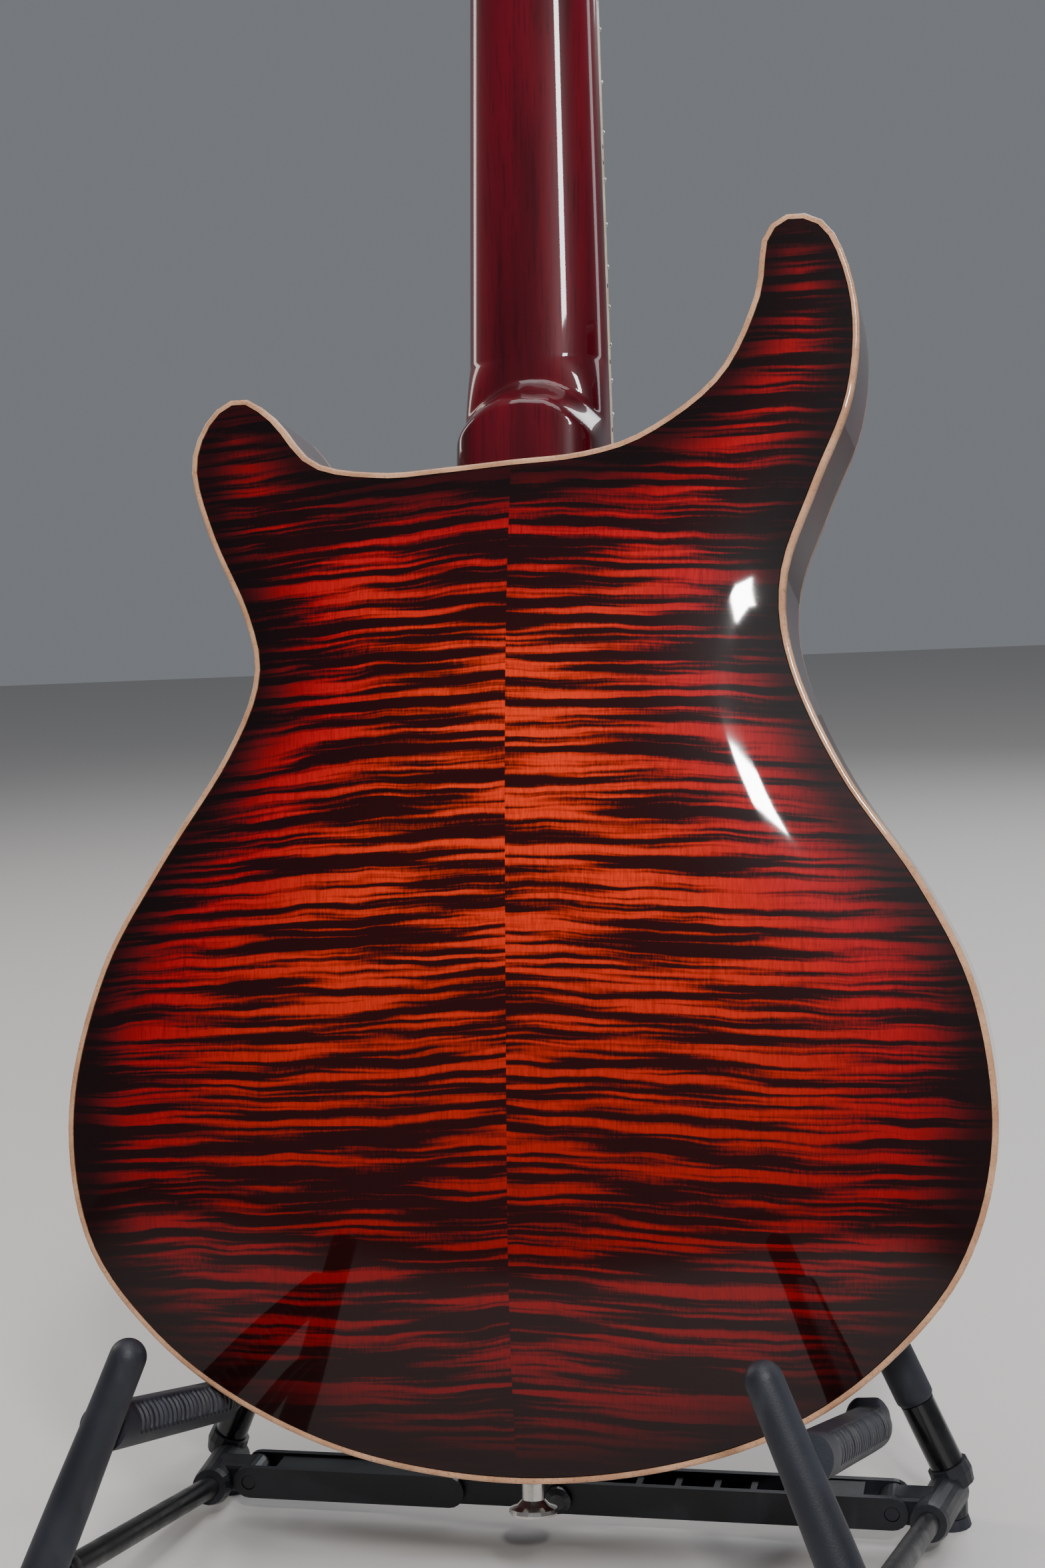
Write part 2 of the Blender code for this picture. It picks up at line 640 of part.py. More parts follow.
def make_top_hardware(guitar, skin_top, to_guitar):
    """Bridge, pickups in their rings, two pots with knobs, and the three-way switch."""
    for name, z in (("neck", NECK_PICKUP_Z), ("bridge", BRIDGE_PICKUP_Z)):
        string_y = (to_guitar @ Vector((0, -4.0, BRIDGE_Z + SCALE_LENGTH - z))).y
        outer = dense_rect((0, z), RING_SIZE, 5)
        inner = dense_rect((0, z), (PICKUP_SIZE[0] + 1.2, PICKUP_SIZE[1] + 1.2), 2.6)
        rest = [skin_top.depth(*p) for p in outer]
        level = max(max(rest) + 1.8, string_y - 5.5)

        def under(x, z_here):
            return skin_top.depth(x, z_here) + 2 * GAP

        foot_outer = at_depth(outer, under)
        grown = dense_rect((0, z), (PICKUP_SIZE[0] + 5, PICKUP_SIZE[1] + 5), 4)
        foot_inner = [(x, under(*g), zz) for (x, zz), g in zip(inner, grown)]
        loops = [foot_outer, at_depth(outer, level - 1), at_depth(inset(outer, 1.2), level),
                 at_depth(inner, level), foot_inner]
        add(f"pickup_ring_{name}", *bands(loops), "black_plastic", guitar)
        block = rounded_rect((0, z), PICKUP_SIZE, 2.2, 4)
        verts, faces = skin([at_depth(inset(block, 1.0), level + 1.6), at_depth(block, level + 0.8),
                             at_depth(block, RIM_DEPTH - 6)])
        add(f"pickup_{name}", verts, faces, "nickel", guitar)
    top_y = (to_guitar @ Vector((0, -ACTION_BRIDGE, SCALE_LENGTH))).y - 1.0 - GAP
    base = skin_top.depth(0, BRIDGE_Z) + 2 * GAP
    bar = rounded_rect((0, BRIDGE_Z), (96, 15), 7, 5)
    lip = top_y - 0.35
    verts, faces = skin([at_depth(inset(bar, 2.0), lip), at_depth(bar, lip - 2),
                         at_depth(bar, base + 1.5), at_depth(inset(bar, 1.5), base)])
    add("bridge", verts, faces, "nickel", guitar)
    for name, (x, z) in KNOBS.items():
        base = skin_top.highest(x, z, KNOB_RADIUS) + 0.8
        deck = skin_top.highest(x, z, 5.2)
        pot = [(0, deck - 22), (11.5, deck - 22), (12, deck - 21), (12, deck - 12),
               (11, deck - 11), (4.6, deck - 11), (4.6, base), (3.0, base + 0.5),
               (3.0, base + 11), (0, base + 11)]
        verts, faces = lathe([(r, y - base) for r, y in pot], 18)
        add(f"pot_{name}", verts, faces, "dark_steel", guitar, (x, base, z))
        shape = [(0, 12), (3.3, 12), (3.3, 1.2), (5.4, 1.2), (5.4, 0.3), (KNOB_RADIUS - 0.5, 0.3),
                 (KNOB_RADIUS, 1.0), (KNOB_RADIUS, 5.5), (KNOB_RADIUS - 1.8, 7.5),
                 (KNOB_RADIUS - 2.2, KNOB_HEIGHT - 1), (KNOB_RADIUS - 3.2, KNOB_HEIGHT),
                 (0, KNOB_HEIGHT)]
        verts, faces = lathe(shape, 24)
        add(f"knob_{name}", verts, faces, "amber_plastic", guitar, (x, base, z))
    x, z = SWITCH_AT
    base = skin_top.highest(x, z, 8) + GAP
    body = [(0, -26), (8, -26), (8.5, -25), (8.5, -8), (4.8, -8), (4.8, 0.1), (8.0, 0.1),
            (8.0, 2.0), (6.0, 2.4), (5.4, 4.5), (4.2, 4.8), (0, 4.8)]
    add("switch_body", *lathe(body, 18), "nickel", guitar, (x, base, z))
    lever = [(0, 5.3), (1.6, 5.3), (1.4, 12), (2.2, 14), (3.6, 19), (3.4, 22), (1.8, 24), (0, 24.3)]
    add("switch_lever", *lathe([(r, y - 4.8) for r, y in lever], 12), "amber_plastic", guitar,
        (x, base + 4.8, z))


def make_edge_hardware(guitar, outline):
    """Strap buttons at the base and on the bass horn, and the jack plate on the treble side."""
    button = [(0, 0.0), (5.4, 0.0), (6.5, 1.2), (6.5, 2.6), (4.2, 4.2), (4.2, 10.2), (6.2, 12.2),
              (8.7, 13.2), (8.9, 14.6), (8.2, 15.6), (4.0, 16.2), (0, 16.3)]
    spots = {"strap_button_base": (0.0, 1)}
    for name, (x_want, way) in spots.items():
        side = [i for i, p in enumerate(outline) if (p[1] < 60) == (way > 0)]
        i = min(side, key=lambda k: abs(outline[k][0] - x_want) - (0 if way > 0 else outline[k][1]))
        along = outline[(i + 1) % len(outline)] - outline[i - 1]
        out = Vector((along[1], 0, -along[0])).normalized()
        turned = Vector((0, 0, 1)).rotation_difference(out).to_matrix().to_4x4()
        at = Vector((outline[i][0], RIM_DEPTH / 2, outline[i][1])) + out * (GAP + 0.05)
        verts, faces = lathe(button, 24, "Z")
        verts = [turned @ Vector(v) for v in verts]
        add(name, verts, faces, "nickel", guitar, at)
    side = [i for i, p in enumerate(outline) if p[0] < -100]
    i = min(side, key=lambda k: abs(outline[k][1] - JACK_Z))
    along = outline[(i + 1) % len(outline)] - outline[i - 1]
    out = Vector((along[1], 0, -along[0])).normalized()
    up = Vector((0, 1, 0))
    plate = rounded_rect((0, 0), (34, 34), 6, 4)
    hole = circle((0, 0), 4.8, len(plate))
    start = np.roll(hole, -2, axis=0)
    across = out.cross(up)
    loops = []
    for loop, high in ((plate, 0.0), (plate, 1.4), (inset(plate, 0.8), 1.9), (start, 1.9), (start, 0.0)):
        loops.append([up * a + across * b + out * high for a, b in loop])
    verts, faces = bands(loops)
    centre = Vector((outline[i][0], RIM_DEPTH / 2, outline[i][1])) + out * (GAP + 0.05)
    add("jack_plate", verts, faces, "nickel", guitar, centre)


def outward(verts, faces):
    """Turn the faces over when the solid's signed volume is negative."""
    total = 0.0
    for face in faces:
        a = Vector(verts[face[0]])
        for i in range(1, len(face) - 1):
            total += a.dot(Vector(verts[face[i]]).cross(Vector(verts[face[i + 1]])))
    return (verts, faces) if total > 0 else (verts, [tuple(face[::-1]) for face in faces])


def add_side(name, solid, way, finish):
    """Add a piece of a side frame; way -1 mirrors it to the left side."""
    verts = [(SHIFT[0] + way * x, SHIFT[1] + y, z) for x, y, z in solid[0]]
    return add(name, verts, solid[1], finish)


def nearest_on_line(start, axis, other, other_axis):
    """Point of the line start + t axis that is nearest to another line."""
    between = start - other
    b = axis.dot(other_axis)
    d, e = axis.dot(between), other_axis.dot(between)
    return start + axis * ((b * e - d) / (1 - b * b))


def foot(top, way_down, radius):
    """Rubber foot round an axis, cut off flat at the floor."""
    side, cross = ring_frames([top, top + way_down])[1][0][1:]
    rings = []
    for scale, drop in ((0.92, 0.0), (1.0, 2.0), (1.06, None)):
        ring = []
        for i in range(18):
            turn = 2 * math.pi * i / 18
            p = top + radius * scale * (math.cos(turn) * side + math.sin(turn) * cross)
            ring.append(p + way_down * (p.z / -way_down.z if drop is None else drop))
        rings.append(ring)
    return skin(rings)


def box(low, high, bevel=1.5):
    """Block between two corners with its long X edges eased."""
    (x0, y0, z0), (x1, y1, z1) = low, high
    loop = rounded_rect(((y0 + y1) / 2, (z0 + z1) / 2), (y1 - y0, z1 - z0), bevel, 2)
    return skin([[(x, y, z) for y, z in loop] for x in (x0, x1)])


def make_side_frame(side, way):
    """Front leg with its prong, seat arm, backrest, rear leg, stay rod and feet."""
    tip, toe = Vector(TIP), Vector(TOE)
    down = (toe - tip).normalized()
    ankle = toe - down * FOOT_HEIGHT
    stops = [ankle.lerp(tip, t) for t in (0, 0.35, 0.62, 0.8, 1)]
    radii = [LEG_RADIUS, LEG_RADIUS, LEG_RADIUS - 0.5, TIP_RADIUS + 0.3, TIP_RADIUS]
    leg = sweep(stops, radii, 18, domes=(False, True))
    add_side(f"front_leg_{side}", leg, way, "black_rubber")
    shoe = foot(ankle + down * GAP, down, LEG_RADIUS + 2.2)
    add_side(f"front_foot_{side}", shoe, way, "black_rubber")

    origin, along = (Vector(p) for p in SEAT_LINE)
    start = nearest_on_line(origin, along.normalized(), tip, down) + along * (LEG_RADIUS + 0.2)
    path = [start, start.lerp(origin + along * 90, 0.5)]
    path += [origin + along * y + Vector((x, 0, z)) for y, x, z in SEAT_END]
    seat = sweep(path, SEAT_RADIUS, 18, domes=(False, True))
    add_side(f"seat_arm_{side}", seat, way, "black_rubber")

    base, bend, top = Vector(TUBE_BASE), Vector(TUBE_BEND), Vector(TUBE_TOP)
    split = base.lerp(bend, SLEEVE_FROM)
    rear = sweep([base, base.lerp(split, 0.5), split], REAR_LEG_RADIUS, 16)
    add_side(f"rear_leg_{side}", rear, way, "gloss_black")
    cuff = split + (bend - base).normalized() * GAP
    path = [cuff, split.lerp(bend, 0.7), bend.lerp(top, 0.12), bend.lerp(top, 0.55), top]
    rest = sweep(path, SLEEVE_RADIUS, 16, domes=(False, True))
    add_side(f"backrest_{side}", rest, way, "black_rubber")

    rod_start, rod_end = (Vector(p) for p in ROD)
    rod_way = (rod_end - rod_start).normalized()
    rod_start = nearest_on_line(rod_start, rod_way, tip, down) + rod_way * (LEG_RADIUS + 0.4)
    rod = sweep([rod_start, rod_start.lerp(rod_end, 0.5), rod_end], ROD_RADIUS, 12)
    add_side(f"stay_rod_{side}", rod, way, "gloss_black")
    make_corner(side, way, rod_end, rod_way)


def make_corner(side, way, rod_end, rod_way):
    """Moulded elbow from the stay rod to the rear leg, with the pin of the cross arm."""
    heart, base = Vector(CORNER), Vector(TUBE_BASE)
    drop = (base - Vector(TUBE_BEND)).normalized()
    mouth = base + drop * GAP
    socket = sweep([mouth, mouth + drop * 4, mouth + drop * 9], [8.0, 8.3, 7.0], 16)
    thing = add_side(f"corner_block_{side}", socket, way, "satin_plastic")
    mouth = rod_end + rod_way * GAP
    bend = heart + Vector((0.3, 1.1, 0.4))
    stops = [mouth, mouth + rod_way * 4, mouth.lerp(bend, 0.6), bend]
    barrel = sweep(stops, [6.8, 7.6, 7.3, 7.7], 20, domes=(False, True))
    boss = sweep([heart, heart + Vector((0, 0, -4)), heart + Vector((0, 0, -8.2))], 7.2, 14)
    x, y, z = PIN
    radius = ARM_HALF_HEIGHT - 0.5
    hub = circle((x, z), radius, 20)
    ear = skin([at_depth(hub, y + EAR_HALF_WIDTH), at_depth(hub, y - EAR_HALF_WIDTH)])
    bridge = box((x + 1, y - EAR_HALF_WIDTH, z - radius), (x + 15, y + EAR_HALF_WIDTH, z + radius))
    reach = ARM_HALF_WIDTH - 0.4
    rod = circle((x, z), PIN_RADIUS, 16)
    pin = skin([at_depth(rod, y + reach), at_depth(rod, y - reach)])
    for solid in (barrel, boss, ear, bridge, pin):
        boolean(thing, add_side("piece", solid, way, "satin_plastic"), "UNION")
    shoe = foot(Vector((heart.x, heart.y, heart.z - 8.2 - GAP)), Vector((0, 0, -1)), 8.0)
    add_side(f"rear_foot_{side}", shoe, way, "black_rubber")


def flat_bar(x0, x1, half, y0, y1):
    """Bar along X with round ends, standing between two depths."""
    x, y, z = SHIFT[0], SHIFT[1] + PIN[1], PIN[2]
    turns = [math.radians(t) for t in range(-90, 91, 20)]
    loop = [(x + x1 + half * math.cos(t), z + half * math.sin(t)) for t in turns]
    loop += [(x + x0 - half * math.cos(t), z - half * math.sin(t)) for t in turns]
    return prism(np.array(loop), y + y0, y + y1)


def arm_piece(name, solids, holes, pivot):
    """Join the solids of a cross arm, bore its pin holes and set its origin on its pivot."""
    thing = None
    for verts, faces in solids:
        piece = add(name, verts, faces, "satin_plastic")
        thing = boolean(thing, piece, "UNION") if thing else piece
    for x in holes:
        bore = flat_bar(x, x, PIN_RADIUS + GAP, -20, 20)
        boolean(thing, add("bore", *bore, "satin_plastic"), "DIFFERENCE")
    set_origin(thing, (SHIFT[0] + pivot, SHIFT[1] + PIN[1], PIN[2]))


def arm_rib(x, y, reach):
    """Thin web across the inside of a cross arm."""
    half_thick, half_tall = 1.2, ARM_HALF_HEIGHT - 2
    low = (x - half_thick, y - reach, PIN[2] - half_tall)
    high = (x + half_thick, y + reach, PIN[2] + half_tall)
    return box(low, high, 0.5)


def make_cross_arms():
    """Left arm with a tongue, right channel that forks round it, and the knee bolt."""
    pin, half = PIN[0], ARM_HALF_HEIGHT
    x, y, z = SHIFT[0], SHIFT[1] + PIN[1], PIN[2]
    walls = ((-ARM_HALF_WIDTH, -ARM_HALF_WIDTH + ARM_WALL), (ARM_HALF_WIDTH - ARM_WALL, ARM_HALF_WIDTH))
    inner = ARM_HALF_WIDTH - 1
    left = [flat_bar(-pin, -44.0, half, *wall) for wall in walls]
    left.append(box((x - pin + 10.5, y - inner, z + half - 4), (x - 42, y + inner, z + half - 1), 0.5))
    left.append(box((x - 56, y - inner, z - half + 1), (x - 44, y + inner, z + half - 1), 0.5))
    left.append(flat_bar(-52.0, 0.0, half - 0.6, -EAR_HALF_WIDTH, EAR_HALF_WIDTH))
    left += [arm_rib(x + rib, y, inner) for rib in (-98.0, -76.0)]
    arm_piece("cross_arm_left", left, (-pin, 0.0), -pin)
    right = [flat_bar(0.0, pin, half, *wall) for wall in walls]
    right.append(box((x + 16.0, y - inner, z - half + 1), (x + pin - 10.5, y + inner, z - half + 4), 0.5))
    cap_low = (x + pin - 40, y - inner, z + half - 3)
    cap_high = (x + pin - 10.5, y + inner, z + half - 0.5)
    right.append(box(cap_low, cap_high, 0.5))
    right += [arm_rib(x + rib, y, inner) for rib in (30.0, 45.0, 60.0, 74.0)]
    arm_piece("cross_arm_right", right, (0.0, pin), 0.0)
    reach = ARM_HALF_WIDTH + GAP
    bolt = [(0, -reach - 3.4), (3.0, -reach - 3.4), (5.2, -reach - 2.4), (5.4, -reach),
            (PIN_RADIUS, -reach), (PIN_RADIUS, reach), (5.4, reach), (5.4, reach + 3.2),
            (0, reach + 3.2)]
    add("knee_bolt", *lathe(bolt, 16), "dark_steel", None, (x, y, z))


def set_origin(thing, at):
    """Move an object's origin to at without moving its mesh in the world."""
    shift = Vector(at) * SCALE
    thing.data.transform(Matrix.Translation(-shift))
    thing.location = shift


def main():
    remove_everything()
    lean = Matrix.Rotation(-math.radians(LEAN_DEG), 4, "X")
    guitar = frame("guitar_frame", Matrix.Translation(Vector(GUITAR_AT) * SCALE) @ lean)
    angle = math.radians(NECK_ANGLE_DEG)
    joint_z = BRIDGE_Z + SCALE_LENGTH - FRET_22
    nut = Vector((0, BOARD_FACE_Y - FRET_22 * math.sin(angle), joint_z + FRET_22 * math.cos(angle)))
    axes = Matrix(((1, 0, 0), (0, -math.cos(angle), math.sin(angle)),
                   (0, -math.sin(angle), -math.cos(angle)))).to_4x4()
    to_guitar = Matrix.Translation(nut) @ axes
    neck = frame("neck_frame", Matrix.Translation(nut * SCALE) @ axes, guitar)
    outline, top = make_body(guitar)
    tilt = make_neck(neck, outline)
    make_fretboard(neck)
    make_tuners(neck, tilt)
    make_strings(guitar, to_guitar)
    make_top_hardware(guitar, TopSkin(top), to_guitar)
    make_edge_hardware(guitar, outline)
    for side, way in (("right", 1), ("left", -1)):
        make_side_frame(side, way)
    make_cross_arms()


main()
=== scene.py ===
"""Looks of the electric guitar on its folding stand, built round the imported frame."""
import math

import bpy
import numpy as np
from mathutils import Matrix, Vector
from mathutils.geometry import delaunay_2d_cdt


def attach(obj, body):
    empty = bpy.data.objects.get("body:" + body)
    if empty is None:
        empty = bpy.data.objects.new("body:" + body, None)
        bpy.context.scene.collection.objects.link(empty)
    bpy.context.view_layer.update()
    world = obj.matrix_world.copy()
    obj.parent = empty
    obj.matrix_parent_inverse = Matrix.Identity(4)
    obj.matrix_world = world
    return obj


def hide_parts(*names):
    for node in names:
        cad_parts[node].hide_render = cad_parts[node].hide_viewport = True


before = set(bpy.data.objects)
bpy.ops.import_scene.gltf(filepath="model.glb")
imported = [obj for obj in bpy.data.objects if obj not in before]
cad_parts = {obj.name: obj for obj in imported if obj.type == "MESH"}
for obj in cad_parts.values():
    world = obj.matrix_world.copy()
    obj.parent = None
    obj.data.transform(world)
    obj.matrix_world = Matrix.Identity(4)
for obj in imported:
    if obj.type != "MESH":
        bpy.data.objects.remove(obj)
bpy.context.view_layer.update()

SCALE = 0.001
GAP = 0.3

# Driving dimensions in mm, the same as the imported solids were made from.
# Places of the stand and of the guitar
SHIFT = (2.9, -108.4, 0.0)
GUITAR_AT = (SHIFT[0], 72.05 + SHIFT[1], 52.9)
LEAN_DEG = 11.5

# Body
RIM_DEPTH = 50.0
RIM_WALL = 6.0
ARCH_BACK = 13.0
ARCH_FRONT = 11.0
PLATE = 4.0
BIND_WIDTH = 2.2
BIND_DEPTH = 4.0
OUTLINE = [
    (0, -2), (55, 5), (101, 22), (135, 48), (159, 80), (169.5, 122), (164, 170), (146, 209),
    (120, 248), (103, 287), (100.5, 318), (112, 350), (125, 382), (127.5, 415), (119, 443),
    (105, 450.5), (94, 443), (90, 420), (76, 393), (50, 374.5), (27, 368), (0, 366.5),
    (-27, 365), (-50, 364.5), (-76, 370), (-92, 388), (-106, 396.5), (-119, 389), (-125.5, 370),
    (-118, 343), (-104, 312), (-100, 288), (-112, 259), (-138, 220), (-161, 179), (-173, 128),
    (-166, 81), (-141, 47.5), (-105, 22), (-57, 4),
]

# Scale, neck and head
SCALE_LENGTH = 635.0
BRIDGE_Z = 170.6
FRET_22 = 456.8
NECK_ANGLE_DEG = 2.56
BOARD_FACE_Y = 58.3
NUT_WIDTH = 42.9
WIDTH_22 = 57.0
BOARD_DEPTH = 6.0
HEEL_FACE_Y = 14.0
HEEL_START = 399.0
HEEL_RUN = 13.0
HEEL_ROUND = 16.0
HEAD_TILT_DEG = 9.0
HEAD_DEPTH = 14.5
HEAD_FACE = 4.5
HEAD_OUTLINE = [(21.3, 6.4), (22.3, 12), (27, 22), (36, 36), (40, 54), (38.5, 90), (36, 126),
                (32, 150), (20, 167), (0, 173)]
TUNER_ROWS = (54.0, 92.0, 130.0)
TUNER_X = 25.0

# Hardware on the top
STRING_SPREAD_BRIDGE = 52.0
STRING_SPREAD_NUT = 35.0
STRING_RADII = (0.62, 0.48, 0.36, 0.24, 0.18, 0.14)
ACTION_BRIDGE = 5.2
NECK_PICKUP_Z = 313.0
BRIDGE_PICKUP_Z = 207.0
PICKUP_SIZE = (69.0, 37.5)
KNOBS = {"volume": (-66.0, 122.0), "tone": (-73.0, 76.0)}
KNOB_RADIUS = 11.5
KNOB_HEIGHT = 16.0
SWITCH_AT = (-84.0, 338.0)
F_HOLE = [(70, 252), (79, 243), (83, 222), (86, 205), (89, 188), (97, 167), (107, 158)]

# Stand: points of the right-hand side frame before SHIFT, mirrored for the left
TIP = (101.3, -22.0, 130.4)
TOE = (155.8, -51.0, 0.0)
TIP_RADIUS = 6.0
LEG_RADIUS = 7.4
FOOT_HEIGHT = 16.0
SEAT_LINE = ((114.5, 0.0, 98.9), (0.075, 1.0, -0.334))
SEAT_END = [(94.0, 0.0, 0.0), (100.0, -0.4, 0.6), (106.0, -1.6, 3.2)]
SEAT_RADIUS = 7.9
TUBE_BASE = (145.0, 168.1, 23.6)
TUBE_BEND = (116.5, 170.5, 88.0)
TUBE_TOP = (66.0, 179.5, 236.0)
SLEEVE_FROM = 0.37
SLEEVE_RADIUS = 7.4
REAR_LEG_RADIUS = 5.8
ROD = [(126.7, -36.0, 61.6), (139.6, 127.3, 18.0)]
ROD_RADIUS = 4.2

# Detail that only the visible pieces have
BOARD_RADIUS = 280.0
FINE_OUTLINE = 208
OUTLINE_TRIM = 0.12
GRID = 9.0
EDGE_STEPS = 640
DOME_TURNS = (35, 60, 80)
SHARP_DEG = 35
EASE_DEG = 38
FRETS = 22
MARKED_FRETS = (3, 5, 7, 9, 12, 15, 17, 19, 21)
OCTAVE = 12
POST_RADIUS = 3.0
POST_TURNS = 3
TURN_STEPS = 20
KNOB_RIDGES = 30
KNOB_RIDGE_DEPTH = 0.28
JACK_SCREW = 12.6
ARM_SIDES = 48
SEAT_RIB_PITCH = 4.8
SEAT_RIB_DEPTH = 1.9
SEAT_RIBS_FROM = 16
SEAT_RIBS_UNTIL = 12
SEAT_FLAT = 0.86
TUBE_SWELL = 0.8

# Stage
CAMERA_AT = (177.942391 + 5.3 + SHIFT[0], -642.89977 + SHIFT[1], 380.228762)
CAMERA_AZIMUTH = 13.2304568
CAMERA_PITCH = 6.25052503
CAMERA_ROLL = -2.99346967
SENSOR = 36.0
CAMERA_LENS = 3267 / 2352 * SENSOR
FLOOR_REACH = 6.0
FLOOR_COLOUR = (0.56, 0.54, 0.52, 1)
SKY_COLOUR = (0.60, 0.63, 0.68, 1)
SKY_STRENGTH = 0.3
LIGHTS = {
    "key": ((0.46, -1.40, 1.02), (0.05, 0.0, 0.32), (0.09, 0.06), 10, (1, 0.98, 0.96)),
    "strip": ((0.55, -1.12, 1.24), (0.0, 0.05, 0.8), (0.17, 0.36), 15, (0.95, 0.97, 1)),
    "left": ((-2.0, 0.75, 1.3), (0, 0, 0.35), (0.5, 1.4), 16, (1, 0.93, 0.85)),
    "right": ((2.1, 0.9, 1.3), (0, 0, 0.35), (0.5, 1.4), 12, (0.93, 0.96, 1)),
    "back": ((0.6, 1.9, 1.6), (0, 0, 0.45), (1.2, 1.0), 24, (0.95, 0.97, 1)),
    "top": ((0, -0.3, 2.7), (0, 0, 0.3), (1.6, 1.6), 38, (1, 1, 1)),
}


def spline(points, count, closed=False):
    """Evenly spaced points on a Catmull-Rom curve through points, in any dimension."""
    ctrl = np.array(points, float)
    if closed:
        ctrl = np.vstack([ctrl[-1], ctrl, ctrl[0], ctrl[1]])
    else:
        ctrl = np.vstack([2 * ctrl[0] - ctrl[1], ctrl, 2 * ctrl[-1] - ctrl[-2]])
    dense = []
    for a, b, c, d in zip(ctrl, ctrl[1:], ctrl[2:], ctrl[3:]):
        for t in np.arange(0, 1, 0.05):
            dense.append(0.5 * (2 * b + (c - a) * t + (2 * a - 5 * b + 4 * c - d) * t * t
                                + (3 * b - a - 3 * c + d) * t ** 3))
    dense.append(ctrl[-2])
    dense = np.array(dense)
    run = np.concatenate([[0], np.cumsum(np.linalg.norm(np.diff(dense, axis=0), axis=1))])
    stops = np.linspace(0, run[-1], count + 1 if closed else count)
    stops = stops[:-1] if closed else stops
    return np.array([np.interp(stops, run, column) for column in dense.T]).T


def inset(loop, distance):
    """Move a counter-clockwise loop of (x, z) points inwards by distance."""
    along = np.roll(loop, -1, axis=0) - np.roll(loop, 1, axis=0)
    along /= np.linalg.norm(along, axis=1)[:, None]
    return loop + distance * np.column_stack([-along[:, 1], along[:, 0]])


def rounded_rect(centre, size, radius, steps=4):
    """Counter-clockwise rounded rectangle in (x, z)."""
    points = []
    for quarter, (sx, sz) in enumerate([(1, 1), (-1, 1), (-1, -1), (1, -1)]):
        for step in range(steps + 1):
            turn = math.radians(90 * (quarter + step / steps))
            points.append((centre[0] + sx * (size[0] / 2 - radius) + radius * math.cos(turn),
                           centre[1] + sz * (size[1] / 2 - radius) + radius * math.sin(turn)))
    return np.array(points)


def circle(centre, radius, count=16):
    turns = np.arange(count) * math.tau / count
    return np.column_stack([centre[0] + radius * np.cos(turns), centre[1] + radius * np.sin(turns)])


def skin(rings):
    """Faces and vertices of a loft through rings with equal counts; ends are fanned shut."""
    count = len(rings[0])
    verts = [tuple(p) for ring in rings for p in ring]
    faces = []
    for k in range(len(rings) - 1):
        for i in range(count):
            j = (i + 1) % count
            faces.append((k * count + i, k * count + j, (k + 1) * count + j, (k + 1) * count + i))
    for base, flip in ((0, True), ((len(rings) - 1) * count, False)):
        verts.append(tuple(np.mean(verts[base:base + count], axis=0)))
        hub = len(verts) - 1
        for i in range(count):
            edge = (base + i, base + (i + 1) % count)
            faces.append((edge[1], edge[0], hub) if flip else (edge[0], edge[1], hub))
    return verts, faces


def bands(loops):
    """Closed ring solid through loops of equal counts, the last joined to the first."""
    count = len(loops[0])
    verts = [tuple(p) for loop in loops for p in loop]
    faces = []
    for k in range(len(loops)):
        nxt = (k + 1) % len(loops)
        for i in range(count):
            j = (i + 1) % count
            faces.append((k * count + i, nxt * count + i, nxt * count + j, k * count + j))
    return verts, faces


def at_depth(loop, depth):
    """Lift an (x, z) loop to 3-D."""
    return [(x, depth, z) for x, z in loop]


def ring_frames(points):
    """Directions along a path and two steady cross directions at each point."""
    path = [Vector(p) for p in points]
    ways = []
    for i in range(len(path)):
        before = path[max(i - 1, 0)]
        after = path[min(i + 1, len(path) - 1)]
        ways.append((after - before).normalized())
    side = ways[0].orthogonal().normalized()
    if abs(ways[0].x) < 0.9:
        side = (Vector((1, 0, 0)) - ways[0] * ways[0].x).normalized()
    frames = []
    for way in ways:
        side = (side - way * side.dot(way)).normalized()
        frames.append((way, side, way.cross(side)))
    return path, frames


def sweep(points, radii, sides=16, squash=1.0, power=2.0, domed=False):
    """Tube along a path; squash is its height over its width, power above 2 squares it."""
    path, frames = ring_frames(points)
    if isinstance(radii, (int, float)):
        radii = [radii] * len(path)

    def ring(centre, axes, radius):
        made = []
        for i in range(sides):
            turn = math.tau * i / sides
            cosine = math.copysign(abs(math.cos(turn)) ** (2 / power), math.cos(turn))
            sine = math.copysign(abs(math.sin(turn)) ** (2 / power), math.sin(turn))
            made.append(centre + radius * (cosine * axes[1] + squash * sine * axes[2]))
        return made

    rings = [ring(p, f, r) for p, f, r in zip(path, frames, radii)]
    for end, way in ((0, -1), (-1, 1)) if domed else ():
        for rad in map(math.radians, DOME_TURNS):
            centre = path[end] + way * frames[end][0] * radii[end] * math.sin(rad)
            more = ring(centre, frames[end], radii[end] * math.cos(rad))
            rings = rings + [more] if end else [more] + rings
    return skin(rings)


def lathe(profile, sides=20, axis="Y"):
    """Turn (radius, height) pairs about an axis; both ends lie on the axis."""
    verts = []
    rows = []
    for radius, height in profile:
        if radius == 0:
            rows.append([len(verts)] * sides)
            verts.append((0, height, 0))
            continue
        rows.append(list(range(len(verts), len(verts) + sides)))
        for i in range(sides):
            turn = math.tau * i / sides
            verts.append((radius * math.cos(turn), height, radius * math.sin(turn)))
    faces = []
    for low, high in zip(rows, rows[1:]):
        for i in range(sides):
            j = (i + 1) % sides
            face = list(dict.fromkeys((low[j], low[i], high[i], high[j])))
            faces.append(tuple(face[::-1]))
    if axis == "Z":
        verts = [(x, -z, y) for x, y, z in verts]
    if axis == "X":
        verts = [(y, -x, z) for x, y, z in verts]
    return verts, faces


